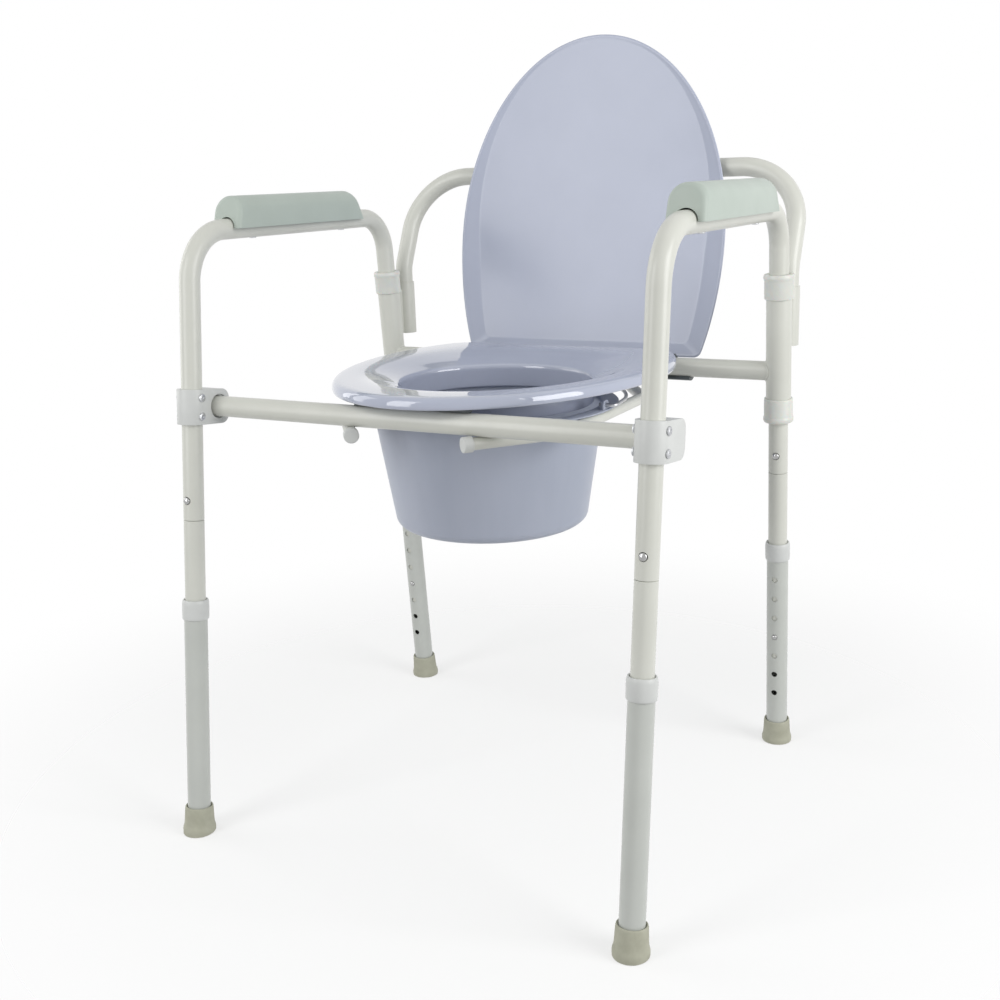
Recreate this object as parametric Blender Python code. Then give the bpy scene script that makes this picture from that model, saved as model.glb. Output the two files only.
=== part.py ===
"""Folding steel commode chair with a hinged seat and lid, a bucket on rails and telescopic legs.

Metres, +Z up, +X to the right as seen from the front, +Y to the back.
The origin is on the floor, in the middle of the chair's outline.
"""

import math

import bmesh
import bpy
from mathutils import Matrix, Vector

# Layout of the two side frames
FRAME_HALF_WIDTH = 0.263
FRONT_FOOT_Y = -0.2683
REAR_FOOT_Y = 0.2215
FRONT_LEAN_DEG = 6.7
REAR_LEAN_DEG = 4.2
ARM_HEIGHT = 0.660
FRONT_BEND_RADIUS = 0.059
REAR_BEND_RADIUS = 0.045

# Clearances
FIT_GAP = 0.0003
SLIDE_GAP = 0.0004
HOLE_GAP = 0.0003

# Steel tubes
ARM_TUBE_OD = 0.0222
ARM_TUBE_WALL = 0.0012
LOWER_LEG_WALL = 0.0012
SLEEVE_SPACE = 0.0017
SLEEVE_WALL = 0.0015
BAR_OD = 0.0222
BAR_WALL = 0.0012
REAR_BAR_HEIGHT = 0.478
FRONT_BAR_DROP = 0.003
BACKREST_OD = 0.0222
BACKREST_WALL = 0.0012
SOCKET_WALL = 0.0013
SOCKET_SETBACK = 0.039
SOCKET_BELOW_SLEEVE = 0.012
SOCKET_LENGTH = 0.068
SOCKET_WEB_THICKNESS = 0.006

# Telescopic legs, as distances up each leg from the floor
TIP_HEIGHT = 0.0305
TIP_FLOOR = 0.008
TIP_BOTTOM_RADIUS = 0.0182
TIP_TOP_WALL = 0.0027
LEG_COLLAR_BOTTOM = 0.2475
LEG_COLLAR_HEIGHT = 0.022
LEG_COLLAR_WALL = 0.0015
COLLAR_LIP = 0.006
ARM_TUBE_BELOW_BAR = 0.120
INSERT_END_BELOW_LOCK = 0.0378
NECK_LENGTH = 0.057
LOCK_HEIGHT = 0.1478
HOLE_PITCH = 0.0254
HOLE_COUNT = 7
BUTTON_RADIUS = 0.0032
BUTTON_PROUD = 0.0016
BUTTON_STEM = 0.0068
FRAME_BUTTON_RADIUS = 0.004
FRAME_BUTTON_PROUD = 0.002
FRAME_BUTTON_ABOVE_END = 0.022

# Rear sleeves of the back frame, from below the rear bar to below the arm
SLEEVE_BELOW_BAR = 0.051
SLEEVE_BELOW_ARM = 0.076
BUSH_HEIGHT = 0.028
BUSH_LIP = 0.0067
BUSH_WALL = 0.0019

# Front bar brackets
BRACKET_HEIGHT = 0.0375
BRACKET_WALL = 0.0044
BRACKET_CORNER = 0.011
BAR_SETBACK = 0.0258
BRACKET_REACH = 0.0156
BAR_SOCKET_DEPTH = 0.020
RIVET_RADIUS = 0.002
RIVET_HEAD_RADIUS = 0.004
RIVET_SPACING = 0.020
RIVET_SETBACK = -0.0015
HEAD_HEIGHT = 0.0016

# Armrest pads
PAD_WIDTH = 0.040
PAD_HEIGHT = 0.035
PAD_FRONT_INSET = 0.005
PAD_REAR_INSET = 0.020
PAD_END_SLOPE = 0.011
PAD_SIDE_SLOPE = 0.002
PAD_EDGE = 0.009
SCREW_RADIUS = 0.002
SCREW_HEAD_RADIUS = 0.004
SCREW_BITE = 0.010
SCREW_INSET = 0.050

# Bucket, its rails and its wire handle
BUCKET_TO_FRONT_BAR = 0.1567
BUCKET_BOTTOM_RADIUS = 0.1084
BUCKET_TOP_RADIUS = 0.127
BUCKET_DEPTH = 0.1316
BUCKET_WALL = 0.0022
BUCKET_CORNER = 0.012
RAIL_OD = 0.0127
RAIL_CLEAR = 0.0012
RAIL_FRONT_X = 0.076
RAIL_REAR_X = 0.068
RAIL_AHEAD = 0.083
RAIL_BEHIND = 0.120
RAIL_BEND_RADIUS = 0.040
RAIL_OVERHANG = 0.017
CAP_WALL = 0.0013
CAP_LENGTH = 0.010
CAP_END = 0.0015
BAIL_WIRE = 0.004
BAIL_EAR_HEIGHT = 0.0095
BAIL_EAR_THICKNESS = 0.0035
BAIL_EAR_LENGTH = 0.014
BAIL_HOLE_HEIGHT = 0.0045

# Seat ring and lid, measured forwards from the rear bar and upwards from its axis
SEAT_HALF_WIDTH = 0.180
SEAT_WIDEST = 0.156
SEAT_REAR_SPREAD = 0.215
SEAT_OVERHANG = 0.030
SEAT_REAR_EDGE = 0.020
SEAT_ABOVE_BAR = 0.0039
SEAT_RIM_HEIGHT = 0.013
SEAT_DISH = 0.0145
SEAT_LIP = 0.004
SKIRT_WALL = 0.003
SKIRT_ABOVE_BUCKET = 0.004
OPENING_HALF_WIDTH = 0.108
OPENING_HALF_LENGTH = 0.1025
OPENING_BEHIND_BUCKET = 0.016
BUMPER_X = 0.050
BUMPER_LENGTH = 0.036
BUMPER_WIDTH = 0.008
CLIP_INNER_X = 0.120
CLIP_WIDTH = 0.038
CLIP_WALL = 0.0041
CLIP_REACH = 0.040
CLIP_FOOT = 0.006
KNUCKLE_INNER_X = 0.080
KNUCKLE_WIDTH = 0.034
LID_LEAN_DEG = 9.8
LID_GAP = 0.0005
LID_THICKNESS = 0.0028
LID_BORDER = 0.012
LID_RECESS = 0.006
LID_CROWN = 0.002
LID_REAR_EDGE = 0.012
LID_REAR_SPREAD = 0.297

# Backrest bar
BACKREST_ABOVE_ARM = 0.047
BACKREST_KINK_ABOVE_SOCKET = 0.020
BACKREST_KINK_RADIUS = 0.040
BACKREST_BEND_RADIUS = 0.075
BACKREST_INSERT = 0.055

# Facets
TUBE_SIDES = 14
ROUND_SIDES = 16
SMALL_SIDES = 10
BEND_STEPS = 5
KINK_STEPS = 2

# Sizes that follow from those above
arm_radius = ARM_TUBE_OD / 2
bracket_half_width = arm_radius + FIT_GAP + BRACKET_WALL
arm_bore = arm_radius - ARM_TUBE_WALL
neck_radius = arm_bore - FIT_GAP
neck_bore = neck_radius - ARM_TUBE_WALL
leg_bore = arm_radius + SLIDE_GAP
leg_radius = leg_bore + LOWER_LEG_WALL
sleeve_bore = arm_radius + SLEEVE_SPACE
sleeve_radius = sleeve_bore + SLEEVE_WALL
bar_radius = BAR_OD / 2
backrest_radius = BACKREST_OD / 2
socket_bore = backrest_radius + FIT_GAP
socket_radius = socket_bore + SOCKET_WALL
front_lean = math.radians(FRONT_LEAN_DEG)
rear_lean = math.radians(REAR_LEAN_DEG)
front_bar_height = REAR_BAR_HEIGHT - FRONT_BAR_DROP
arm_tube_end = REAR_BAR_HEIGHT - ARM_TUBE_BELOW_BAR
backrest_height = ARM_HEIGHT + BACKREST_ABOVE_ARM
sleeve_bottom = REAR_BAR_HEIGHT - SLEEVE_BELOW_BAR
sleeve_top = ARM_HEIGHT - SLEEVE_BELOW_ARM
upper_bush_bottom = sleeve_top + FIT_GAP + BUSH_LIP - BUSH_HEIGHT
lower_bush_top = sleeve_bottom - FIT_GAP - BUSH_LIP + BUSH_HEIGHT
socket_top = sleeve_top - SOCKET_BELOW_SLEEVE
socket_bottom = socket_top - SOCKET_LENGTH
front_bar_y = FRONT_FOOT_Y + front_bar_height * math.tan(front_lean) + BAR_SETBACK
rear_bar_y = REAR_FOOT_Y - REAR_BAR_HEIGHT * math.tan(rear_lean)
bar_span = rear_bar_y - front_bar_y
rail_radius = RAIL_OD / 2
rail_height = front_bar_height - bar_radius - FIT_GAP - rail_radius
rail_rear_height = REAR_BAR_HEIGHT - bar_radius - FIT_GAP - rail_radius
bucket_y = front_bar_y + BUCKET_TO_FRONT_BAR
rail_x = BUCKET_TOP_RADIUS + RAIL_CLEAR + rail_radius
flange_bottom = rail_height + rail_radius + FIT_GAP
flange_radius = rail_x + rail_radius + BUCKET_WALL
seat_length = bar_span + SEAT_OVERHANG
front_bar_top = front_bar_height + bar_radius - REAR_BAR_HEIGHT
seat_bottom = front_bar_top + SEAT_ABOVE_BAR
seat_top = seat_bottom + SEAT_RIM_HEIGHT
skirt_bottom = flange_bottom + BUCKET_WALL + SKIRT_ABOVE_BUCKET - REAR_BAR_HEIGHT
clip_bore = bar_radius + SLIDE_GAP
clip_radius = clip_bore + CLIP_WALL
lid_plane = seat_top + LID_GAP
lid_turn = math.radians(90 + LID_LEAN_DEG)
hinge = Vector((0, rear_bar_y, REAR_BAR_HEIGHT))


def clear_scene():
    for obj in list(bpy.data.objects):
        bpy.data.objects.remove(obj, do_unlink=True)


def make_material(name, color, roughness, metallic=0.0):
    material = bpy.data.materials.new(name)
    material.use_nodes = True
    shader = material.node_tree.nodes["Principled BSDF"]
    shader.inputs["Base Color"].default_value = (*color, 1)
    shader.inputs["Roughness"].default_value = roughness
    shader.inputs["Metallic"].default_value = metallic
    return material


def add_object(name, bm, material, matrix=None):
    bmesh.ops.recalc_face_normals(bm, faces=bm.faces)
    mesh = bpy.data.meshes.new(name)
    bm.to_mesh(mesh)
    bm.free()
    mesh.shade_smooth()
    mesh.set_sharp_from_angle(angle=math.radians(35))
    if material:
        mesh.materials.append(material)
    obj = bpy.data.objects.new(name, mesh)
    bpy.context.scene.collection.objects.link(obj)
    if matrix:
        obj.matrix_world = matrix
    return obj


def boolean(obj, tool, operation):
    modifier = obj.modifiers.new(operation.lower(), "BOOLEAN")
    modifier.operation = operation
    modifier.solver = "EXACT"
    modifier.object = tool
    tool.hide_render = True
    tool.display_type = "WIRE"


def cut(obj, bm, matrix=None):
    boolean(obj, add_object(obj.name + "_cutter", bm, None, matrix), "DIFFERENCE")


def join(obj, bm, matrix=None):
    boolean(obj, add_object(obj.name + "_joined", bm, None, matrix), "UNION")


def bridge(bm, first, second):
    """Faces between two rings of equal length, or between a ring and a pole."""
    count = max(len(first), len(second))
    for i in range(count):
        j = (i + 1) % count
        if len(first) == 1:
            bm.faces.new((first[0], second[i], second[j]))
        elif len(second) == 1:
            bm.faces.new((first[i], first[j], second[0]))
        else:
            bm.faces.new((first[i], first[j], second[j], second[i]))


def loft(loops, closed=False):
    """A surface through rings of points. Each end is a pole, a flat cap, or the first ring again."""
    bm = bmesh.new()
    rings = [[bm.verts.new(point) for point in loop] for loop in loops]
    for first, second in zip(rings, rings[1:]):
        bridge(bm, first, second)
    if closed:
        bridge(bm, rings[-1], rings[0])
        return bm
    for ring in (rings[0], rings[-1]):
        if len(ring) > 1:
            bm.faces.new(ring)
    return bm


def circle(radius, height, sides):
    if radius == 0:
        return [Vector((0, 0, height))]
    turns = [2 * math.pi * i / sides for i in range(sides)]
    return [Vector((radius * math.cos(t), radius * math.sin(t), height)) for t in turns]


def turned(profile, sides, closed=False):
    """A profile of (radius, height) points turned about Z."""
    return loft([circle(radius, height, sides) for radius, height in profile], closed)


def merged(shapes):
    """Several meshes as one, for cutters that do not meet."""
    total = bmesh.new()
    for shape in shapes:
        mesh = bpy.data.meshes.new("shape")
        shape.to_mesh(mesh)
        shape.free()
        total.from_mesh(mesh)
        bpy.data.meshes.remove(mesh)
    return total


def placed(bm, matrix):
    bmesh.ops.transform(bm, matrix=matrix, verts=bm.verts)
    return bm


def cylinder(radius, start, end, sides=SMALL_SIDES):
    """A closed round bar between two points."""
    start = Vector(start)
    run = Vector(end) - start
    matrix = Matrix.Translation(start) @ run.to_track_quat("Z", "Y").to_matrix().to_4x4()
    return placed(turned([(radius, 0), (radius, run.length)], sides), matrix)


def box(low, high):
    bm = bmesh.new()
    size = Vector(high) - Vector(low)
    middle = (Vector(high) + Vector(low)) / 2
    bmesh.ops.create_cube(bm, size=1, matrix=Matrix.Translation(middle) @ Matrix.Diagonal((*size, 1)))
    return bm


def prism(outline, low, high):
    """A flat outline in Y and Z, drawn out along X."""
    return loft([[Vector((x, y, z)) for y, z in outline] for x in (low, high)])


def rounded_path(corners, bends):
    """A path through corners, each inner one rounded by an arc of a (radius, number of steps)."""
    path = [Vector(corners[0])]
    for before, corner, after, (radius, steps) in zip(corners, corners[1:], corners[2:], bends):
        corner = Vector(corner)
        back = (Vector(before) - corner).normalized()
        ahead = (Vector(after) - corner).normalized()
        half = back.angle(ahead) / 2
        middle = corner + (back + ahead).normalized() * radius / math.sin(half)
        start = corner + back * radius / math.tan(half) - middle
        axis = ahead.cross(back)
        swing = math.pi - 2 * half
        path += [middle + Matrix.Rotation(swing * i / steps, 3, axis) @ start for i in range(steps + 1)]
    return path + [Vector(corners[-1])]


def path_rings(path, radius, sides):
    """Rings round a path, carried along it without twist and cut to the mitre at each turn."""
    runs = [(b - a).normalized() for a, b in zip(path, path[1:])]
    side = runs[0].orthogonal().normalized()
    rings = []
    for i, point in enumerate(path):
        before = runs[max(i - 1, 0)]
        after = runs[min(i, len(runs) - 1)]
        mitre = (before + after).normalized()
        up = before.cross(side)
        ring = []
        for spot in circle(radius, 0, sides):
            spoke = side * spot.x + up * spot.y
            ring.append(point + spoke - before * (spoke.dot(mitre) / before.dot(mitre)))
        rings.append(ring)
        side = before.rotation_difference(after) @ side
    return rings


def rod(path, radius, sides=TUBE_SIDES):
    return loft(path_rings(path, radius, sides))


def tube(path, radius, bore, sides=TUBE_SIDES):
    outer = path_rings(path, radius, sides)
    inner = path_rings(path, bore, sides)
    return loft(outer + inner[::-1], closed=True)


def leg_matrix(side, end):
    """From a leg's own frame, Z up the leg from the floor, to the chair's."""
    foot_y, lean = (FRONT_FOOT_Y, front_lean) if end == "front" else (REAR_FOOT_Y, -rear_lean)
    return Matrix.Translation((side * FRAME_HALF_WIDTH, foot_y, 0)) @ Matrix.Rotation(-lean, 4, "X")


def on_leg(side, end, height):
    """The point of a leg's axis at a height above the floor."""
    matrix = leg_matrix(side, end)
    slope = matrix.to_3x3() @ Vector((0, 0, 1))
    return matrix.translation + slope * height / slope.z


def arm_path(side):
    start = leg_matrix(side, "front") @ Vector((0, 0, arm_tube_end))
    finish = leg_matrix(side, "rear") @ Vector((0, 0, arm_tube_end))
    corners = [start, on_leg(side, "front", ARM_HEIGHT), on_leg(side, "rear", ARM_HEIGHT), finish]
    return rounded_path(corners, [(FRONT_BEND_RADIUS, BEND_STEPS), (REAR_BEND_RADIUS, BEND_STEPS)])


def pad_ends():
    """Where a pad starts and stops along Y, from where the arm runs straight."""
    front = on_leg(1, "front", ARM_HEIGHT).y + FRONT_BEND_RADIUS * math.tan((math.pi / 2 - front_lean) / 2)
    rear = on_leg(1, "rear", ARM_HEIGHT).y - REAR_BEND_RADIUS * math.tan((math.pi / 2 - rear_lean) / 2)
    return front + PAD_FRONT_INSET, rear - PAD_REAR_INSET, front + SCREW_INSET, rear - SCREW_INSET


def button_hole(height, radius, facing):
    """A cutter through one wall of a leg's tube, across the leg, for a button of a radius."""
    return cylinder(radius + HOLE_GAP, (0, 0, height), (0, facing * 2 * leg_radius, height))


def frame_button_hole():
    return button_hole(arm_tube_end + FRAME_BUTTON_ABOVE_END, FRAME_BUTTON_RADIUS, -1)


def make_arm_tube(side, name, steel):
    obj = add_object(name + "_arm_tube", tube(arm_path(side), arm_radius, arm_bore), steel)
    middle = side * FRAME_HALF_WIDTH
    holes = []
    for end in ("front", "rear"):
        holes.append(placed(frame_button_hole(), leg_matrix(side, end)))
    for height in rivet_heights():
        across = cylinder(
            RIVET_RADIUS + HOLE_GAP,
            (-2 * arm_radius, RIVET_SETBACK, height),
            (2 * arm_radius, RIVET_SETBACK, height),
        )
        holes.append(placed(across, leg_matrix(side, "front")))
    for y in pad_ends()[2:]:
        low = (middle, y, ARM_HEIGHT - 2 * arm_radius)
        high = (middle, y, ARM_HEIGHT + 2 * arm_radius)
        holes.append(cylinder(SCREW_RADIUS + HOLE_GAP, low, high))
    cut(obj, merged(holes))


def make_pad(side, name, plastic):
    front, rear, first_screw, last_screw = pad_ends()
    middle = side * FRAME_HALF_WIDTH
    bottom = ARM_HEIGHT + FIT_GAP
    half = PAD_WIDTH / 2
    bm = box((middle - half, front, bottom), (middle + half, rear, ARM_HEIGHT + PAD_HEIGHT))
    for vert in bm.verts:
        if vert.co.z > ARM_HEIGHT + PAD_HEIGHT / 2:
            vert.co.x += math.copysign(PAD_SIDE_SLOPE, middle - vert.co.x)
            vert.co.y += math.copysign(PAD_END_SLOPE, (front + rear) / 2 - vert.co.y)
    upper = [e for e in bm.edges if max(v.co.z for v in e.verts) > bottom + PAD_HEIGHT / 2]
    bmesh.ops.bevel(bm, geom=upper, offset=PAD_EDGE, segments=4, profile=0.5, affect="EDGES")
    obj = add_object(name + "_arm_pad", bm, plastic)
    cut(obj, rod(arm_path(side), arm_radius + FIT_GAP))
    tip = ARM_HEIGHT + arm_radius + SCREW_BITE + FIT_GAP
    holes = [
        cylinder(SCREW_RADIUS + HOLE_GAP, (middle, y, ARM_HEIGHT), (middle, y, tip))
        for y in (first_screw, last_screw)
    ]
    cut(obj, merged(holes))


def make_pad_screws(side, name, zinc):
    under = ARM_HEIGHT - arm_radius - FIT_GAP
    profile = [
        (0, -HEAD_HEIGHT),
        (SCREW_HEAD_RADIUS * 0.7, -HEAD_HEIGHT * 0.85),
        (SCREW_HEAD_RADIUS, 0),
        (SCREW_RADIUS, 0),
        (SCREW_RADIUS, 2 * arm_radius + SCREW_BITE),
        (0, 2 * arm_radius + SCREW_BITE),
    ]
    for label, y in zip(("front", "rear"), pad_ends()[2:]):
        place = Matrix.Translation((side * FRAME_HALF_WIDTH, y, under))
        add_object(f"{name}_{label}_pad_screw", turned(profile, SMALL_SIDES), zinc, place)


def bar_on_leg(side):
    """The front bar's place in its front leg's own frame: (distance behind the leg, height)."""
    local = leg_matrix(side, "front").inverted() @ Vector((0, front_bar_y, front_bar_height))
    return local.y, local.z


def rivet_heights():
    middle = bar_on_leg(1)[1]
    return middle - RIVET_SPACING / 2, middle + RIVET_SPACING / 2


def make_bracket(side, name, plastic):
    """A collar on the front leg with a lobe behind it, which holds the bar's end in a blind socket."""
    behind, middle = bar_on_leg(side)
    reach = bracket_half_width
    back = behind + BRACKET_REACH
    inner = -side * reach
    outline = []
    for i in range(ROUND_SIDES // 2 + 1):
        turn = math.pi + math.pi * i / (ROUND_SIDES // 2)
        outline.append((reach * math.cos(turn), reach * math.sin(turn)))
    outline += [(reach, back), (-reach, back)]
    heights = (middle - BRACKET_HEIGHT / 2, middle + BRACKET_HEIGHT / 2)
    bm = loft([[Vector((x, y, z)) for x, y in outline] for z in heights])
    corners = [
        e for e in bm.edges
        if abs(e.verts[0].co.z - e.verts[1].co.z) < FIT_GAP and min(v.co.y for v in e.verts) > back - FIT_GAP
    ]
    bmesh.ops.bevel(bm, geom=corners, offset=BRACKET_CORNER, segments=4, profile=0.5, affect="EDGES")
    place = leg_matrix(side, "front")
    obj = add_object(name + "_front_bracket", bm, plastic, place)
    leg_hole = cylinder(
        arm_radius + FIT_GAP,
        (0, 0, middle - BRACKET_HEIGHT),
        (0, 0, middle + BRACKET_HEIGHT),
        TUBE_SIDES,
    )
    cut(obj, leg_hole, place)
    mouth = (2 * inner, behind, middle)
    end = (inner + side * BAR_SOCKET_DEPTH, behind, middle)
    cut(obj, cylinder(bar_radius + SLIDE_GAP, mouth, end, TUBE_SIDES), place)
    holes = [
        cylinder(
            RIVET_RADIUS + HOLE_GAP,
            (-2 * reach, RIVET_SETBACK, height),
            (2 * reach, RIVET_SETBACK, height),
        )
        for height in rivet_heights()
    ]
    cut(obj, merged(holes), place)


def make_rivets(side, name, zinc):
    grip = bracket_half_width + FIT_GAP
    profile = [(0, -grip - HEAD_HEIGHT), (RIVET_HEAD_RADIUS * 0.7, -grip - HEAD_HEIGHT * 0.8)]
    profile += [(RIVET_HEAD_RADIUS, -grip), (RIVET_RADIUS, -grip)]
    profile += [(radius, -height) for radius, height in reversed(profile)]
    for label, height in zip(("lower", "upper"), rivet_heights()):
        place = Matrix.Translation((0, RIVET_SETBACK, height)) @ Matrix.Rotation(math.pi / 2, 4, "Y")
        matrix = leg_matrix(side, "front") @ place
        add_object(f"{name}_{label}_bracket_rivet", turned(profile, SMALL_SIDES), zinc, matrix)


def make_front_bar(steel):
    end = FRAME_HALF_WIDTH - bracket_half_width + BAR_SOCKET_DEPTH - FIT_GAP
    path = [Vector((x, front_bar_y, front_bar_height)) for x in (-end, end)]
    add_object("front_bar", tube(path, bar_radius, bar_radius - BAR_WALL), steel)


def socket_axis(side, height):
    """A point of a backrest socket's axis: upright, behind the middle of its length of sleeve."""
    middle = on_leg(side, "rear", socket_bottom + SOCKET_LENGTH / 2)
    return Vector((middle.x, middle.y + SOCKET_SETBACK, height))


def make_back_frame(steel):
    """Two sleeves on the rear uprights, the bar between them and the backrest sockets, welded as one."""
    ends = [on_leg(side, "rear", REAR_BAR_HEIGHT) for side in (-1, 1)]
    obj = add_object("back_frame", cylinder(bar_radius, *ends, TUBE_SIDES), steel)
    half = SOCKET_WEB_THICKNESS / 2
    web_low = max(socket_bottom, lower_bush_top + 2 * FIT_GAP)
    web_top = upper_bush_bottom - 2 * FIT_GAP
    for side in (-1, 1):
        place = leg_matrix(side, "rear")
        sleeve = cylinder(sleeve_radius, (0, 0, sleeve_bottom), (0, 0, sleeve_top), TUBE_SIDES)
        join(obj, sleeve, place)
        join(obj, box((-half, sleeve_bore, web_low), (half, SOCKET_SETBACK, web_top)), place)
        ends = (socket_axis(side, socket_bottom), socket_axis(side, socket_top))
        join(obj, cylinder(socket_radius, *ends, TUBE_SIDES))
    for side in (-1, 1):
        low = (0, 0, sleeve_bottom - BUSH_HEIGHT)
        high = (0, 0, sleeve_top + BUSH_HEIGHT)
        bore = placed(cylinder(sleeve_bore, low, high, TUBE_SIDES), leg_matrix(side, "rear"))
        ends = (socket_axis(side, socket_bottom - SOCKET_LENGTH), socket_axis(side, socket_top + SOCKET_LENGTH))
        socket = cylinder(socket_bore, *ends, TUBE_SIDES)
        cut(obj, merged([bore, socket]))


def cap_profile(bore, lip_bore, wall, height, lip):
    """A collar that covers a tube's end from outside, its lip at the top."""
    radius = bore + wall
    edge = wall * 0.4
    return [
        (bore, 0),
        (radius - edge, 0),
        (radius, edge),
        (radius, height - edge),
        (radius - edge, height),
        (lip_bore, height),
        (lip_bore, height - lip),
        (bore, height - lip),
    ]


def make_bushes(side, name, plastic):
    profile = cap_profile(sleeve_radius + FIT_GAP, arm_radius + FIT_GAP, BUSH_WALL, BUSH_HEIGHT, BUSH_LIP)
    place = leg_matrix(side, "rear")
    upper = Matrix.Translation((0, 0, upper_bush_bottom))
    flip = Matrix.Rotation(math.pi, 4, "X")
    lower = Matrix.Translation((0, 0, lower_bush_top)) @ flip
    for label, shift in (("upper", upper), ("lower", lower)):
        ring = turned(profile, ROUND_SIDES, closed=True)
        add_object(f"{name}_{label}_sleeve_bush", ring, plastic, place @ shift)


def make_backrest(steel):
    """A tube bent to an arch, raked back above its sockets until it carries the raised lid."""
    foot = socket_axis(1, socket_top - BACKREST_INSERT)
    kink = socket_axis(1, socket_top + BACKREST_KINK_ABOVE_SOCKET)
    top = Vector((FRAME_HALF_WIDTH, lid_back_y(backrest_height) + backrest_radius + FIT_GAP, backrest_height))
    right = [foot, kink, top]
    left = [Vector((-p.x, p.y, p.z)) for p in reversed(right)]
    bends = [(BACKREST_KINK_RADIUS, KINK_STEPS), (BACKREST_BEND_RADIUS, BEND_STEPS)]
    path = rounded_path(right + left, bends + bends[::-1])
    bm = tube(path, backrest_radius, backrest_radius - BACKREST_WALL)
    add_object("backrest_bar", bm, steel)


def make_leg_insert(side, end, name, steel):
    """The inner leg tube: its drawn-in neck plugs into the arm tube, its foot slides in the lower leg."""
    start = LOCK_HEIGHT - INSERT_END_BELOW_LOCK
    shoulder = arm_tube_end - FIT_GAP
    draw = 3 * ARM_TUBE_WALL
    profile = [
        (arm_radius, start),
        (arm_radius, shoulder),
        (neck_radius, shoulder),
        (neck_radius, shoulder + NECK_LENGTH),
        (neck_bore, shoulder + NECK_LENGTH),
        (neck_bore, shoulder - draw),
        (arm_bore, shoulder - 2 * draw),
        (arm_bore, start),
    ]
    place = leg_matrix(side, end)
    obj = add_object(name + "_leg_insert", turned(profile, TUBE_SIDES, closed=True), steel, place)
    facing = 1 if end == "front" else -1
    holes = [button_hole(LOCK_HEIGHT, BUTTON_RADIUS, facing), frame_button_hole()]
    cut(obj, merged(holes), place)


def make_lower_leg(side, end, name, steel):
    place = leg_matrix(side, end)
    top = LEG_COLLAR_BOTTOM + LEG_COLLAR_HEIGHT - COLLAR_LIP - FIT_GAP
    bottom = TIP_FLOOR + FIT_GAP
    profile = [(leg_radius, bottom), (leg_radius, top), (leg_bore, top), (leg_bore, bottom)]
    obj = add_object(name + "_lower_leg", turned(profile, TUBE_SIDES, closed=True), steel, place)
    facing = 1 if end == "front" else -1
    first = LOCK_HEIGHT - HOLE_PITCH * (HOLE_COUNT // 2)
    holes = [button_hole(first + HOLE_PITCH * i, BUTTON_RADIUS, facing) for i in range(HOLE_COUNT)]
    cut(obj, merged(holes), place)


def make_leg_collar(side, end, name, plastic):
    profile = cap_profile(leg_radius + FIT_GAP, leg_bore, LEG_COLLAR_WALL, LEG_COLLAR_HEIGHT, COLLAR_LIP)
    place = leg_matrix(side, end) @ Matrix.Translation((0, 0, LEG_COLLAR_BOTTOM))
    add_object(name + "_leg_collar", turned(profile, ROUND_SIDES, closed=True), plastic, place)


def make_rubber_tip(side, end, name, rubber):
    """A ferrule on the leg's end, cut level so that it stands flat on the floor."""
    bore = leg_radius + FIT_GAP
    top = bore + TIP_TOP_WALL
    below = TIP_BOTTOM_RADIUS
    profile = [
        (0, -below),
        (TIP_BOTTOM_RADIUS, -below),
        (TIP_BOTTOM_RADIUS, TIP_FLOOR),
        (top, TIP_FLOOR * 2),
        (top, TIP_HEIGHT),
        (bore, TIP_HEIGHT),
        (bore, TIP_FLOOR),
        (0, TIP_FLOOR),
    ]
    place = leg_matrix(side, end)
    bm = placed(turned(profile, ROUND_SIDES), place)
    everything = bm.verts[:] + bm.edges[:] + bm.faces[:]
    floor = bmesh.ops.bisect_plane(
        bm, geom=everything, plane_co=(0, 0, 0), plane_no=(0, 0, 1), clear_inner=True
    )
    edges = [item for item in floor["geom_cut"] if isinstance(item, bmesh.types.BMEdge)]
    bmesh.ops.contextual_create(bm, geom=edges)
    add_object(name + "_rubber_tip", placed(bm, place.inverted()), rubber, place)


def make_button(side, end, name, height, radius, crown, chrome):
    """A spring button whose domed head stands proud of a tube, with a flange inside the tube."""
    facing = 1 if crown > 0 else -1
    crown = abs(crown)
    base = crown - BUTTON_STEM
    profile = [
        (0, base - radius * 0.3),
        (radius * 1.25, base - radius * 0.3),
        (radius * 1.25, base),
        (radius, base),
        (radius, crown - radius * 0.35),
        (radius * 0.7, crown - radius * 0.1),
        (0, crown),
    ]
    place = leg_matrix(side, end) @ Matrix.Translation((0, 0, height))
    turn = Matrix.Rotation(-facing * math.pi / 2, 4, "X")
    add_object(name, turned(profile, SMALL_SIDES), chrome, place @ turn)


def rail_path(side):
    """A rail from under the front bar, out round the bucket and in again to the rear bar."""
    first = Vector((RAIL_FRONT_X, front_bar_y, rail_height))
    second = Vector((rail_x, bucket_y - RAIL_AHEAD, rail_height))
    third = Vector((rail_x, bucket_y + RAIL_BEHIND, rail_height))
    last = Vector((RAIL_REAR_X, rear_bar_y, rail_rear_height))
    first += (first - second).normalized() * RAIL_OVERHANG
    last += (last - third).normalized() * RAIL_OVERHANG
    corners = [Vector((side * p.x, p.y, p.z)) for p in (first, second, third, last)]
    return rounded_path(corners, [(RAIL_BEND_RADIUS, KINK_STEPS)] * 2)


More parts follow.
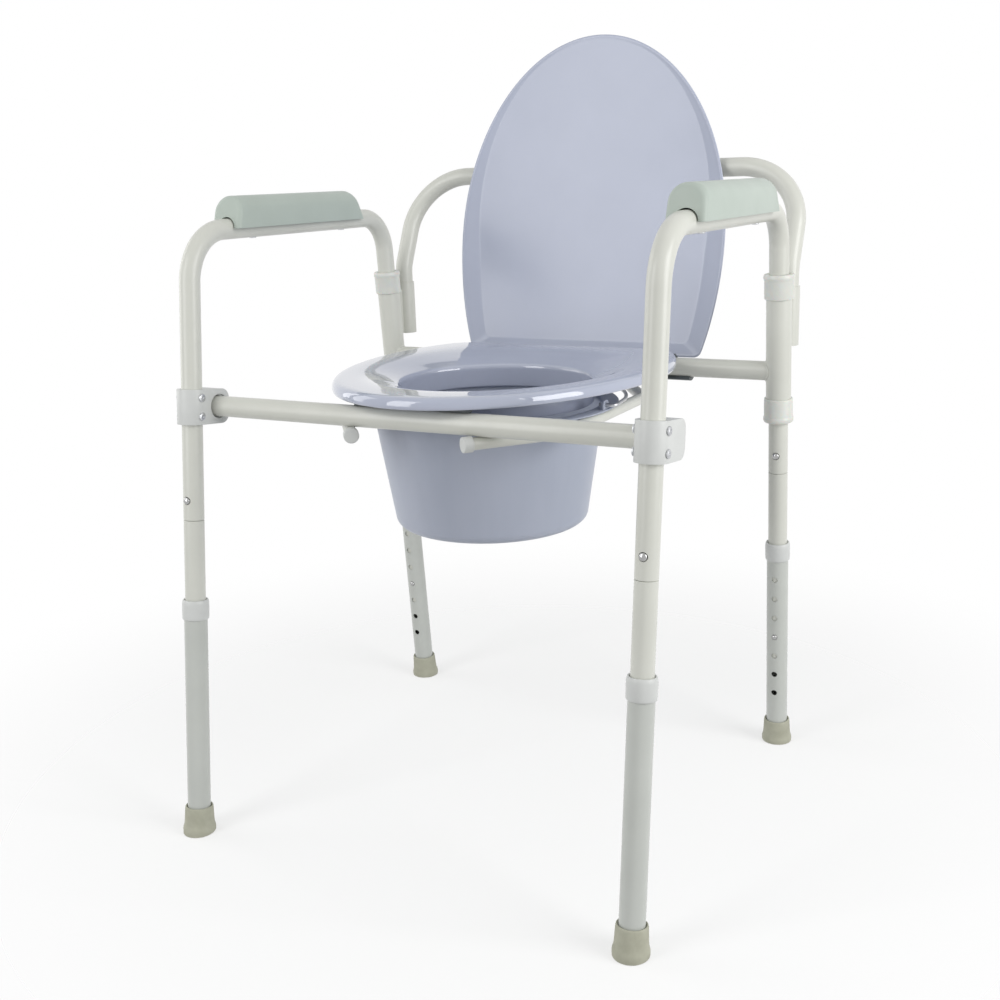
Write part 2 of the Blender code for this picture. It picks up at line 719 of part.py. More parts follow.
def make_rail(side, name, steel, plastic):
    path = rail_path(side)
    add_object(name + "_bucket_rail", rod(path, rail_radius, SMALL_SIDES + 2), steel)
    bore = rail_radius + FIT_GAP
    radius = bore + CAP_WALL
    profile = [
        (0, FIT_GAP),
        (bore, FIT_GAP),
        (bore, CAP_END - CAP_LENGTH),
        (radius, CAP_END - CAP_LENGTH),
        (radius, CAP_END * 0.4),
        (radius - CAP_END * 0.6, CAP_END),
        (0, CAP_END),
    ]
    for label, end, before in (("front", path[0], path[1]), ("rear", path[-1], path[-2])):
        turn = (end - before).to_track_quat("Z", "Y").to_matrix().to_4x4()
        cap = turned(profile, SMALL_SIDES + 2)
        add_object(f"{name}_{label}_rail_cap", cap, plastic, Matrix.Translation(end) @ turn)


def make_bucket(plastic):
    """A tapered round bucket hung by its flange, with two ears for the wire handle."""
    floor = flange_bottom - BUCKET_DEPTH
    top = flange_bottom + BUCKET_WALL
    low = BUCKET_BOTTOM_RADIUS
    high = BUCKET_TOP_RADIUS
    corner = BUCKET_CORNER
    profile = [
        (0, floor),
        (low - corner, floor),
        (low - corner * 0.3, floor + corner * 0.3),
        (low, floor + corner),
        (high, flange_bottom),
        (flange_radius, flange_bottom),
        (flange_radius, top),
        (high - BUCKET_WALL, top),
        (low - BUCKET_WALL, floor + corner),
        (low - corner, floor + BUCKET_WALL),
        (0, floor + BUCKET_WALL),
    ]
    place = Matrix.Translation((0, bucket_y, 0))
    obj = add_object("bucket", turned(profile, 2 * TUBE_SIDES), plastic, place)
    ears = []
    for side in (-1, 1):
        near = side * (flange_radius - BAIL_EAR_THICKNESS - BUCKET_WALL)
        far = side * (flange_radius - BUCKET_WALL)
        ears.append(
            box(
                (min(near, far), -BAIL_EAR_LENGTH / 2, top - BUCKET_WALL / 2),
                (max(near, far), BAIL_EAR_LENGTH / 2, top + BAIL_EAR_HEIGHT),
            )
        )
    join(obj, merged(ears), place)
    hole_z = top + BAIL_HOLE_HEIGHT
    holes = [
        cylinder(
            BAIL_WIRE / 2 + HOLE_GAP,
            (side * (flange_radius - 3 * BAIL_EAR_THICKNESS), 0, hole_z),
            (side * 2 * flange_radius, 0, hole_z),
        )
        for side in (-1, 1)
    ]
    cut(obj, merged(holes), place)


def bail_pivot():
    return Vector((0, bucket_y, flange_bottom + BUCKET_WALL + BAIL_HOLE_HEIGHT))


def make_bail(wire):
    """A wire handle folded back over the flange, its ends hooked through the ears."""
    spread = flange_radius + 2 * BAIL_WIRE
    hook = flange_radius - BUCKET_WALL - BAIL_EAR_THICKNESS - BAIL_WIRE
    arc = [
        Vector((spread * math.cos(turn), spread * math.sin(turn), 0))
        for turn in (math.pi * i / (2 * BEND_STEPS) for i in range(1, 2 * BEND_STEPS))
    ]
    corner = spread * math.tan(math.pi / (4 * BEND_STEPS))
    start = rounded_path([(hook, 0, 0), (spread, 0, 0), (spread, 2 * corner, 0)], [(BAIL_WIRE, KINK_STEPS)])
    end = [Vector((-p.x, p.y, p.z)) for p in reversed(start)]
    path = start[:-1] + arc + end[1:]
    bm = rod(path, BAIL_WIRE / 2, SMALL_SIDES - 2)
    add_object("bucket_handle", bm, wire, Matrix.Translation(bail_pivot()))


def plan_outline(inset, rear, spread=SEAT_REAR_SPREAD, count=10):
    """The seat's and lid's plan: an egg cut straight at the hinge, as (x, distance forwards)."""
    width = SEAT_HALF_WIDTH - inset
    front = seat_length - inset
    points = []
    for i in range(count + 1):
        turn = math.pi / 2 * i / count
        points.append((width * math.sin(turn), SEAT_WIDEST + (front - SEAT_WIDEST) * math.cos(turn)))
    start = rear + inset
    back = count // 2
    for i in range(1, back + 1):
        forward = SEAT_WIDEST + (start - SEAT_WIDEST) * i / back
        points.append((width * math.sqrt(1 - ((SEAT_WIDEST - forward) / spread) ** 2), forward))
    corner = points[-1][0]
    points += [(corner * part, start) for part in (0.7, 0.35)]
    points.append((0, start))
    return points + [(-x, forward) for x, forward in reversed(points[1:-1])]


def level(points, height):
    """A plan outline at a height above the hinge, in the hinge's own frame."""
    return [Vector((x, -forward, height)) for x, forward in points]


def opening_outline(plan, grow):
    """The seat's oval opening, one point for each point of the plan, seen from the oval's middle."""
    middle = rear_bar_y - bucket_y - OPENING_BEHIND_BUCKET
    points = []
    for x, forward in plan:
        turn = math.atan2(forward - middle, x)
        wide = OPENING_HALF_WIDTH + grow
        long = OPENING_HALF_LENGTH + grow
        reach = 1 / math.hypot(math.cos(turn) / wide, math.sin(turn) / long)
        points.append((reach * math.cos(turn), middle + reach * math.sin(turn)))
    return points


def make_seat(plastic):
    """A ring with a raised, rounded outer rim, dished to its opening, with a skirt down to the bucket."""
    rim = SEAT_RIM_HEIGHT
    outer = plan_outline(0, SEAT_REAR_EDGE)
    inner_top = seat_top - SEAT_DISH
    loops = [
        level(plan_outline(rim * 0.15, SEAT_REAR_EDGE), seat_bottom),
        level(outer, seat_bottom + rim * 0.2),
        level(plan_outline(rim * 0.1, SEAT_REAR_EDGE), seat_top - rim * 0.3),
        level(plan_outline(rim * 0.5, SEAT_REAR_EDGE), seat_top),
        level(opening_outline(outer, rim * 1.5), inner_top + rim * 0.3),
        level(opening_outline(outer, rim * 0.4), inner_top),
        level(opening_outline(outer, 0), inner_top - SEAT_LIP / 2),
        level(opening_outline(outer, 0), skirt_bottom),
        level(opening_outline(outer, SKIRT_WALL), skirt_bottom),
        level(opening_outline(outer, rim * 0.4), inner_top - SEAT_LIP),
        level(opening_outline(outer, rim * 1.6), seat_bottom),
    ]
    add_object("seat_ring", loft(loops, closed=True), plastic, Matrix.Translation(hinge))


def make_bumpers(rubber):
    top = seat_bottom - FIT_GAP
    base = front_bar_top + FIT_GAP
    corner = Vector((BUMPER_LENGTH / 2, BUMPER_WIDTH / 2, 0))
    for side, name in ((-1, "left"), (1, "right")):
        place = Matrix.Translation((side * BUMPER_X, front_bar_y, REAR_BAR_HEIGHT))
        bm = box(Vector((0, 0, base)) - corner, Vector((0, 0, top)) + corner)
        add_object(name + "_seat_bumper", bm, rubber, place)


def clip_outline(mouth_start, mouth_end):
    """An open ring round the bar, as (back, up) points, from one edge of its mouth to the other."""
    steps = ROUND_SIDES
    turns = [mouth_end + (mouth_start + 2 * math.pi - mouth_end) * i / steps for i in range(steps + 1)]
    outer = [(clip_radius * math.sin(t), clip_radius * math.cos(t)) for t in turns]
    inner = [(clip_bore * math.sin(t), clip_bore * math.cos(t)) for t in reversed(turns)]
    return outer, inner


def make_hinge_clip(side, name, plastic):
    """A snap clip that hooks over and behind the rear bar, with a foot under the seat."""
    outer, inner = clip_outline(math.radians(212), math.radians(300))
    low = side * CLIP_INNER_X
    high = side * (CLIP_INNER_X + CLIP_WIDTH)
    place = Matrix.Translation(hinge)
    obj = add_object(name + "_hinge_clip", prism(outer + inner, low, high), plastic, place)
    foot_top = seat_bottom - FIT_GAP
    foot_low = foot_top - CLIP_FOOT
    start = math.sqrt(clip_bore ** 2 - foot_low ** 2) + SLIDE_GAP
    foot = box((min(low, high), -CLIP_REACH, foot_low), (max(low, high), -start, foot_top))
    join(obj, foot, place)


def lid_loops():
    """The lid's rings from the middle of its hollow underside, round its rim, to the middle of its top."""
    thick = LID_THICKNESS
    deep = lid_plane + LID_RECESS
    middle = (LID_REAR_EDGE + seat_length) / 2
    slope = LID_BORDER + LID_RECESS
    half = SEAT_HALF_WIDTH / 2
    under = [
        level([(0, middle)], deep + LID_CROWN),
        level(plan_outline(half, LID_REAR_EDGE, LID_REAR_SPREAD), deep + LID_CROWN * 0.75),
        level(plan_outline(slope, LID_REAR_EDGE, LID_REAR_SPREAD), deep),
        level(plan_outline(LID_BORDER, LID_REAR_EDGE, LID_REAR_SPREAD), lid_plane),
        level(plan_outline(thick * 0.3, LID_REAR_EDGE, LID_REAR_SPREAD), lid_plane),
    ]
    over = [
        level(plan_outline(0, LID_REAR_EDGE, LID_REAR_SPREAD), lid_plane + thick * 0.4),
        level(plan_outline(thick * 0.3, LID_REAR_EDGE, LID_REAR_SPREAD), lid_plane + thick),
        level(plan_outline(LID_BORDER - thick / 2, LID_REAR_EDGE, LID_REAR_SPREAD), lid_plane + thick),
        level(plan_outline(slope - thick / 2, LID_REAR_EDGE, LID_REAR_SPREAD), deep + thick),
        level(plan_outline(half, LID_REAR_EDGE, LID_REAR_SPREAD), deep + LID_CROWN * 0.75 + thick),
        level([(0, middle)], deep + LID_CROWN + thick),
    ]
    return under + over


def lid_matrix():
    """The raised lid's place: the closed lid turned up and back about the rear bar."""
    return Matrix.Translation(hinge) @ Matrix.Rotation(-lid_turn, 4, "X")


def lid_back_y(height):
    """How far back the raised lid reaches at a height."""
    back = lid_plane + LID_RECESS + LID_CROWN + LID_THICKNESS
    lean = math.radians(LID_LEAN_DEG)
    up = (height - REAR_BAR_HEIGHT + back * math.sin(lean)) / math.cos(lean)
    return rear_bar_y + back * math.cos(lean) + up * math.sin(lean)


def make_lid(plastic):
    """The hollow lid with two knuckles that snap round the rear bar."""
    place = lid_matrix()
    obj = add_object("lid", loft(lid_loops()), plastic, place)
    spans = [
        sorted((side * KNUCKLE_INNER_X, side * (KNUCKLE_INNER_X + KNUCKLE_WIDTH)))
        for side in (-1, 1)
    ]
    edge = SEAT_REAR_EDGE - 3 * LID_GAP
    blocks = [
        box((low, -edge, 0), (high, clip_bore * 0.6, lid_plane + LID_THICKNESS / 2))
        for low, high in spans
    ]
    join(obj, merged(blocks), place)
    rounds = [cylinder(clip_radius, (low, 0, 0), (high, 0, 0), ROUND_SIDES) for low, high in spans]
    join(obj, merged(rounds), place)
    bores = [
        cylinder(clip_bore, (low - LID_BORDER, 0, 0), (high + LID_BORDER, 0, 0), ROUND_SIDES)
        for low, high in spans
    ]
    cut(obj, merged(bores), place)
    gape = clip_bore * 0.85
    mouths = [
        box((low - LID_BORDER, -gape, -2 * clip_radius), (high + LID_BORDER, gape, 0))
        for low, high in spans
    ]
    cut(obj, merged(mouths), place)


def make_legs(finishes):
    for side, side_name in ((-1, "left"), (1, "right")):
        for end in ("front", "rear"):
            name = f"{end}_{side_name}"
            facing = 1 if end == "front" else -1
            make_leg_insert(side, end, name, finishes["steel"])
            make_lower_leg(side, end, name, finishes["leg_steel"])
            make_leg_collar(side, end, name, finishes["plastic"])
            make_rubber_tip(side, end, name, finishes["rubber"])
            chrome = finishes["chrome"]
            height = arm_tube_end + FRAME_BUTTON_ABOVE_END
            crown = -(arm_radius + FRAME_BUTTON_PROUD)
            make_button(side, end, name + "_frame_button", height, FRAME_BUTTON_RADIUS, crown, chrome)
            crown = facing * (leg_radius + BUTTON_PROUD)
            make_button(side, end, name + "_height_button", LOCK_HEIGHT, BUTTON_RADIUS, crown, chrome)


def make_sides(finishes):
    for side, name in ((-1, "left"), (1, "right")):
        make_arm_tube(side, name, finishes["steel"])
        make_pad(side, name, finishes["pad"])
        make_pad_screws(side, name, finishes["zinc"])
        make_bracket(side, name, finishes["plastic"])
        make_rivets(side, name, finishes["zinc"])
        make_bushes(side, name, finishes["plastic"])
        make_rail(side, name, finishes["steel"], finishes["plastic"])
        make_hinge_clip(side, name, finishes["clip"])


def main():
    clear_scene()
    finishes = {
        "steel": make_material("powder-coated steel", (0.62, 0.62, 0.56), 0.45),
        "leg_steel": make_material("grey powder-coated steel", (0.52, 0.54, 0.50), 0.45),
        "plastic": make_material("light grey nylon", (0.64, 0.66, 0.66), 0.5),
        "pad": make_material("grey-green polypropylene", (0.55, 0.64, 0.60), 0.45),
        "shell": make_material("lavender-grey polypropylene", (0.47, 0.50, 0.63), 0.25),
        "bucket": make_material("satin lavender-grey polypropylene", (0.42, 0.46, 0.55), 0.4),
        "clip": make_material("dark grey nylon", (0.12, 0.13, 0.14), 0.5),
        "rubber": make_material("beige-grey rubber", (0.50, 0.49, 0.39), 0.7),
        "chrome": make_material("chromed steel", (0.75, 0.75, 0.75), 0.15, 1.0),
        "zinc": make_material("zinc-plated steel", (0.62, 0.62, 0.62), 0.35, 1.0),
    }
    make_back_frame(finishes["steel"])
    make_front_bar(finishes["steel"])
    make_sides(finishes)
    make_legs(finishes)
    make_backrest(finishes["steel"])
    make_bucket(finishes["bucket"])
    make_bail(finishes["zinc"])
    make_seat(finishes["shell"])
    make_bumpers(finishes["clip"])
    make_lid(finishes["shell"])


main()
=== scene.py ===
import math

import bmesh
import bpy
from mathutils import Matrix, Vector
from mathutils.kdtree import KDTree


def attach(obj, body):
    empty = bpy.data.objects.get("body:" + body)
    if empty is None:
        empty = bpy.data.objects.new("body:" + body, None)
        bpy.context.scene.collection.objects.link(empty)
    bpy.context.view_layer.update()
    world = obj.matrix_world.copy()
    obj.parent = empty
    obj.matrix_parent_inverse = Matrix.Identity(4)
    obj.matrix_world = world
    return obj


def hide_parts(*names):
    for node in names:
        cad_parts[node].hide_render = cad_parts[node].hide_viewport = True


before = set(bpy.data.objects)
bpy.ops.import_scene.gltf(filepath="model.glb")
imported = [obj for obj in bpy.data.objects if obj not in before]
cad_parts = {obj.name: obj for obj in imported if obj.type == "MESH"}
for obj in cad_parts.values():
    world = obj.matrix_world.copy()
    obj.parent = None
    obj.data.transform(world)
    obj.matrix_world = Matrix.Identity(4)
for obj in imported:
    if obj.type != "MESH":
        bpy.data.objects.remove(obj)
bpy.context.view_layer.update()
print("frame loaded")

sides = {"left": -1, "right": 1}
mergeGap = 0.000004  # points closer than this become one
slack = 0.001  # edges are told apart by where they lie, to within this
pastCut = 0.01  # how far a cutting piece goes past what it cuts


def pick(*pieces):
    if bpy.context.object and bpy.context.object.mode != "OBJECT":
        bpy.ops.object.mode_set(mode="OBJECT")
    bpy.ops.object.select_all(action="DESELECT")
    for piece in pieces:
        piece.select_set(True)
    if pieces:
        bpy.context.view_layer.objects.active = pieces[0]


def modify(piece, kind, **settings):
    modifier = piece.modifiers.new(kind, kind)
    for key, value in settings.items():
        setattr(modifier, key, value)
    pick(piece)
    bpy.ops.object.modifier_apply(modifier=modifier.name)
    return piece


def softEdges(piece, width, segments=2, angle=40):
    return modify(piece, "BEVEL", width=width, segments=segments, limit_method="ANGLE",
                  angle_limit=math.radians(angle))


def combine(piece, tool, operation):
    modify(piece, "BOOLEAN", object=tool, operation=operation, solver="EXACT")
    bpy.data.objects.remove(tool)
    return piece


def place(piece, matrix):
    pick(piece)
    piece.matrix_world = matrix @ piece.matrix_world
    bpy.ops.object.transform_apply(location=True, rotation=True, scale=True)
    return piece


def duplicate(piece, name, matrix):
    pick(piece)
    bpy.ops.object.duplicate(linked=False)
    twin = bpy.context.object
    twin.name = name
    return place(twin, matrix)


def discard(*blanks):
    for blank in blanks:
        bpy.data.objects.remove(blank)


def tidy(piece):
    pick(piece)
    bpy.ops.object.mode_set(mode="EDIT")
    bpy.ops.mesh.select_all(action="SELECT")
    bpy.ops.mesh.remove_doubles(threshold=mergeGap)
    bpy.ops.mesh.normals_make_consistent(inside=False)
    bpy.ops.object.mode_set(mode="OBJECT")
    return piece


# the last steps of each piece: shading, material, and the body and nodes it stands for
def dress(piece, body, material, slot, *nodes, angle=33):
    place(piece, Matrix())
    tidy(piece)
    bpy.ops.object.shade_smooth_by_angle(angle=math.radians(angle))
    piece.data.materials.clear()
    piece.data.materials.append(material)
    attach(piece, body)
    if nodes:
        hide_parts(*nodes)
    return piece


# a circle pushed out ring by ring, as on a lathe; rings are (radius, height)
def turned(name, rings, count=64, hollow=False):
    pick()
    fill = "NOTHING" if hollow else "NGON"
    bpy.ops.mesh.primitive_circle_add(vertices=count, radius=rings[0][0], fill_type=fill)
    piece = bpy.context.object
    piece.name = name
    bpy.ops.object.mode_set(mode="EDIT")
    bpy.ops.mesh.select_all(action="SELECT")
    bpy.ops.transform.translate(value=(0, 0, rings[0][1]))
    steps = rings + rings[:1] if hollow else rings
    for before, after in zip(steps, steps[1:]):
        bpy.ops.mesh.extrude_region_move(TRANSFORM_OT_translate={"value": (0, 0, after[1] - before[1])})
        grow = after[0] / before[0]
        bpy.ops.transform.resize(value=(grow, grow, 1), center_override=(0, 0, 0))
    return tidy(piece)


# a round bar along a path; a chamfer narrows its two ends
def bent(name, path, radius, resolution=22, closed=False, chamfer=0.0):
    pick()
    curve = bpy.data.curves.new(name, "CURVE")
    curve.dimensions = "3D"
    curve.bevel_depth = radius
    curve.bevel_resolution = resolution
    curve.use_fill_caps = not closed
    points = [(Vector(p), 1.0) for p in path]
    if chamfer:
        for index, inner in ((0, 1), (-1, -2)):
            point = points[index][0]
            ahead = (points[inner][0] - point).normalized()
            points[index] = (point + ahead * chamfer, 1.0)
            points.insert(0 if index == 0 else len(points), (point, 1 - chamfer / radius))
    spline = curve.splines.new("POLY")
    spline.points.add(len(points) - 1)
    for target, (point, swell) in zip(spline.points, points):
        target.co = (*point, 1)
        target.radius = swell
    spline.use_cyclic_u = closed
    piece = bpy.data.objects.new(name, curve)
    bpy.context.scene.collection.objects.link(piece)
    pick(piece)
    bpy.ops.object.convert(target="MESH")
    return tidy(bpy.context.object)


# corners rounded by arcs; one (radius, steps) for each inner corner
def rounded(corners, bends):
    corners = [Vector(c) for c in corners]
    path = [corners[0]]
    for before, corner, after, (radius, steps) in zip(corners, corners[1:], corners[2:], bends):
        back = (before - corner).normalized()
        ahead = (after - corner).normalized()
        half = back.angle(ahead) / 2
        centre = corner + (back + ahead).normalized() * radius / math.sin(half)
        start = corner + back * radius / math.tan(half) - centre
        axis = ahead.cross(back).normalized()
        turn = math.pi - 2 * half
        for step in range(steps + 1):
            path.append(centre + Matrix.Rotation(turn * step / steps, 3, axis) @ start)
    return path + [corners[-1]]


def bar(name, start, end, radius, count=64):
    pick()
    start, end = Vector(start), Vector(end)
    bpy.ops.mesh.primitive_cylinder_add(vertices=count, radius=radius, depth=(end - start).length)
    piece = bpy.context.object
    piece.name = name
    turn = (end - start).to_track_quat("Z", "Y").to_matrix().to_4x4()
    return place(piece, Matrix.Translation((start + end) / 2) @ turn)


def block(name, low, high):
    pick()
    low, high = Vector(low), Vector(high)
    bpy.ops.mesh.primitive_cube_add(size=1, location=(low + high) / 2, scale=high - low)
    piece = bpy.context.object
    piece.name = name
    return place(piece, Matrix())


# a circle shaped to the first loop and pushed out loop by loop; every loop has equally many points
def skinned(name, loops, closed=False):
    pick()
    bpy.ops.mesh.primitive_circle_add(vertices=len(loops[0]), fill_type="NOTHING")
    piece = bpy.context.object
    piece.name = name
    for vertex, point in zip(piece.data.vertices, loops[0]):
        vertex.co = point
    bpy.ops.object.mode_set(mode="EDIT")
    bpy.ops.mesh.select_all(action="SELECT")
    steps = loops + loops[:1] if closed else loops
    for before, after in zip(steps, steps[1:]):
        bpy.ops.mesh.extrude_region_move()
        nearest = KDTree(len(before))
        for index, point in enumerate(before):
            nearest.insert(point, index)
        nearest.balance()
        mesh = bmesh.from_edit_mesh(piece.data)
        for vertex in mesh.verts:
            if vertex.select:
                vertex.co = after[nearest.find(vertex.co)[1]]
        bmesh.update_edit_mesh(piece.data)
    return tidy(piece)


def fillEnds(piece):
    pick(piece)
    bpy.ops.object.mode_set(mode="EDIT")
    bpy.ops.mesh.select_all(action="SELECT")
    bpy.ops.mesh.fill_holes(sides=0)
    return tidy(piece)


# selects the edges whose two ends pass the test, in edit mode
def chooseEdges(piece, test):
    pick(piece)
    bpy.ops.object.mode_set(mode="EDIT")
    bpy.ops.mesh.select_mode(type="EDGE")
    bpy.ops.mesh.select_all(action="DESELECT")
    mesh = bmesh.from_edit_mesh(piece.data)
    for edge in mesh.edges:
        edge.select_set(test(*(v.co for v in edge.verts)))
    bmesh.update_edit_mesh(piece.data)


def roundChosen(width, segments):
    bpy.ops.mesh.bevel(offset=width, segments=segments, profile=0.5, affect="EDGES")


# a web colour as the linear values that shaders take
def linear(text):
    parts = [int(text[i:i + 2], 16) / 255 for i in (1, 3, 5)]
    return [c / 12.92 if c <= 0.04045 else ((c + 0.055) / 1.055) ** 2.4 for c in parts] + [1]


def addNode(tree, kind, settings=None, links=None):
    node = tree.nodes.new(kind)
    for key, value in (settings or {}).items():
        if isinstance(key, str) and hasattr(node, key):
            setattr(node, key, value)
        else:
            node.inputs[key].default_value = value
    for key, source in (links or {}).items():
        tree.links.new(source, node.inputs[key])
    return node


noiseSpan = {"From Min": 0.3, "From Max": 0.7}  # nearly all of the noise lies between these


# one surface: two close shades in soft patches, a worked grain, and gloss that wanders a little
# patch and grain are widths in mm, bump is (strength, height in mm)
# the moulded plastics' grain is drawn coarser than it is, so that it shows
def surface(name, look):
    material = bpy.data.materials.new(name)
    material.use_nodes = True
    tree = material.node_tree
    shader = tree.nodes["Principled BSDF"]
    where = addNode(tree, "ShaderNodeTexCoord").outputs["Object"]
    drawn = addNode(tree, "ShaderNodeMapping", {"Scale": look.get("stretch", (1, 1, 1))}, {"Vector": where})
    patch = addNode(tree, "ShaderNodeTexNoise",
                    {"Scale": 1000 / look["patch"], "Detail": 4.0, "Roughness": 0.55},
                    {"Vector": drawn.outputs["Vector"]}).outputs["Fac"]
    spread = addNode(tree, "ShaderNodeMapRange", noiseSpan, {"Value": patch})
    colour = addNode(tree, "ShaderNodeMix",
                     {"data_type": "RGBA", 6: linear(look["light"]), 7: linear(look["dark"])},
                     {0: spread.outputs["Result"]})
    tree.links.new(colour.outputs[2], shader.inputs["Base Color"])
    gloss = addNode(tree, "ShaderNodeMapRange",
                    {**noiseSpan, "To Min": look["rough"][0], "To Max": look["rough"][1]},
                    {"Value": patch})
    tree.links.new(gloss.outputs["Result"], shader.inputs["Roughness"])
    grain = addNode(tree, "ShaderNodeTexNoise",
                    {"Scale": 1000 / look["grain"], "Detail": 2.0, "Roughness": 0.5}, {"Vector": where})
    relief = addNode(tree, "ShaderNodeBump",
                     {"Strength": look["bump"][0], "Distance": look["bump"][1] / 1000},
                     {"Height": grain.outputs["Fac"]})
    tree.links.new(relief.outputs["Normal"], shader.inputs["Normal"])
    for key, value in look.get("shader", {}).items():
        shader.inputs[key].default_value = value
    return material


# off-white powder coat: satin, with a fine orange peel that breaks up the highlight along the tubes
powderCoat = surface("powderCoatedSteel", {
    "light": "#D2D3CB", "dark": "#CCCDC5", "patch": 60, "rough": (0.27, 0.34),
    "grain": 1.6, "bump": (0.10, 0.2), "shader": {"Specular IOR Level": 0.5}})

# the lower legs' coat: a little greyer and flatter
legCoat = surface("greyPowderCoat", {
    "light": "#C1C4BF", "dark": "#BBBEB9", "patch": 50, "rough": (0.30, 0.38),
    "grain": 1.6, "bump": (0.10, 0.2), "shader": {"Specular IOR Level": 0.5}})

# light grey moulded nylon: soft sheen, faint mould texture
nylon = surface("lightGreyNylon", {
    "light": "#CFD1CF", "dark": "#C9CBC9", "patch": 25, "rough": (0.36, 0.46),
    "grain": 0.9, "bump": (0.14, 0.12)})

# the sleeves' bushes: unfilled nylon, a little milky and nearly the coat's colour
bushNylon = surface("milkyNylon", {
    "light": "#D8DAD4", "dark": "#D1D3CD", "patch": 25, "rough": (0.30, 0.40),
    "grain": 0.9, "bump": (0.12, 0.12), "shader": {"Subsurface Weight": 0.15, "Subsurface Scale": 0.004}})

# grey-green polypropylene of the armrests: finely grained, half matt
padPlastic = surface("greyGreenPolypropylene", {
    "light": "#B6C0B8", "dark": "#B1BBB3", "patch": 60, "rough": (0.36, 0.44),
    "grain": 0.7, "bump": (0.16, 0.12), "shader": {"Specular IOR Level": 0.22}})

# lavender-grey polypropylene of the seat: polished mould, so it mirrors softly, with long slow waves
seatPlastic = surface("glossyLavenderPolypropylene", {
    "light": "#B0B6C8", "dark": "#ABB1C3", "patch": 120, "rough": (0.05, 0.08),
    "grain": 60, "bump": (0.02, 1.0), "shader": {"IOR": 1.5, "Coat Weight": 0.8, "Coat Roughness": 0.03}})

# the lid: the same plastic from a duller mould, so lamps show on it but pieces hardly do
lidPlastic = surface("satinLidPolypropylene", {
    "light": "#B0B6C8", "dark": "#ABB1C3", "patch": 120, "rough": (0.22, 0.25),
    "grain": 60, "bump": (0.02, 1.0), "shader": {"IOR": 1.5}})

# the bucket's satin moulding: faint upright light and dark bands painted into its colour, as painted
# reflections and painted light through the wall; the wall is also thin enough that light passes through it
bucketPlastic = surface("satinLavenderPolypropylene", {
    "light": "#B0B5C2", "dark": "#A4AAB8", "patch": 90, "stretch": (1, 1, 0.04), "rough": (0.36, 0.44),
    "grain": 40, "bump": (0.03, 0.8),
    "shader": {"Specular IOR Level": 0.2, "Subsurface Weight": 0.5, "Subsurface Scale": 0.006,
               "Subsurface Radius": (1.0, 1.0, 1.0)}})

# dark nylon of the seat's clips and bumpers: half matt, with the speckle of its filler
clipNylon = surface("darkGreyNylon", {
    "light": "#50575A", "dark": "#42484A", "patch": 15, "rough": (0.38, 0.5),
    "grain": 0.8, "bump": (0.2, 0.15)})

# beige-grey rubber: matt and slightly dusty
tipRubber = surface("beigeGreyRubber", {
    "light": "#AEAE9D", "dark": "#A3A392", "patch": 12, "rough": (0.62, 0.78),
    "grain": 0.8, "bump": (0.3, 0.2)})

# chrome plate: bright, mirror-like, with a trace of handling
chrome = surface("chromePlate", {
    "light": "#B4B4B4", "dark": "#A0A0A0", "patch": 6, "rough": (0.08, 0.16),
    "grain": 1.0, "bump": (0.05, 0.05), "shader": {"Metallic": 1.0}})

# zinc plate: duller, with a patchy sheen
zinc = surface("zincPlate", {
    "light": "#CFD0D2", "dark": "#B4B6B9", "patch": 3, "rough": (0.28, 0.45),
    "grain": 0.6, "bump": (0.15, 0.08), "shader": {"Metallic": 1.0}})
print("materials made")

# side frames: two legs a side, leaning towards each other
legs = {
    "halfWidth": 0.263, "footY": {"front": -0.2683, "rear": 0.2215}, "lean": {"front": 6.7, "rear": -4.2},
    "tubeRadius": 0.0111, "armEnd": 0.358, "armHeight": 0.660, "bends": [(0.059, 24), (0.045, 24)],
}


# a leg's own frame: its foot at the floor, z along the leg
def legPlace(side, end):
    turn = Matrix.Rotation(-math.radians(legs["lean"][end]), 4, "X")
    return Matrix.Translation((side * legs["halfWidth"], legs["footY"][end], 0)) @ turn


def atHeight(side, end, height):
    lean = math.radians(legs["lean"][end])
    return Vector((side * legs["halfWidth"], legs["footY"][end] + height * math.tan(lean), height))


def armPath(side):
    start, finish = (legPlace(side, end) @ Vector((0, 0, legs["armEnd"])) for end in ("front", "rear"))
    bends = [atHeight(side, end, legs["armHeight"]) for end in ("front", "rear")]
    return rounded([start, *bends, finish], legs["bends"])


# rubber tips, flared to a foot that is cut level with the floor
tips = {
    "rings": [
        (0.0178, -0.004), (0.0181, 0.0020), (0.0182, 0.0042), (0.0179, 0.0062), (0.0172, 0.0082),
        (0.0167, 0.0105), (0.0164, 0.0140), (0.0159, 0.0240), (0.01565, 0.0283), (0.0152, 0.0299),
        (0.0146, 0.0305), (0.0138, 0.0303), (0.0132, 0.0290), (0.0130, 0.0240),
    ],
    "edge": 0.0011,
}
tip = turned("tipBlank", tips["rings"])

# lower legs with their row of height holes, drilled through one wall
lowerLegs = {"radius": 0.0127, "bore": 0.0115, "low": 0.0083, "high": 0.2632,
             "hole": 0.0036, "drill": 0.03, "lock": 0.1478, "pitch": 0.0254, "holes": 7}
leg = turned("legBlank", [(lowerLegs["bore"], lowerLegs["low"]), (lowerLegs["radius"], lowerLegs["low"]),
                          (lowerLegs["radius"], lowerLegs["high"]), (lowerLegs["bore"], lowerLegs["high"])],
             hollow=True)
for hole in range(lowerLegs["holes"]):
    height = lowerLegs["lock"] + (hole - lowerLegs["holes"] // 2) * lowerLegs["pitch"]
    drill = bar("drill", (0, 0, height), (0, lowerLegs["drill"], height), lowerLegs["hole"], 32)
    combine(leg, drill, "DIFFERENCE")

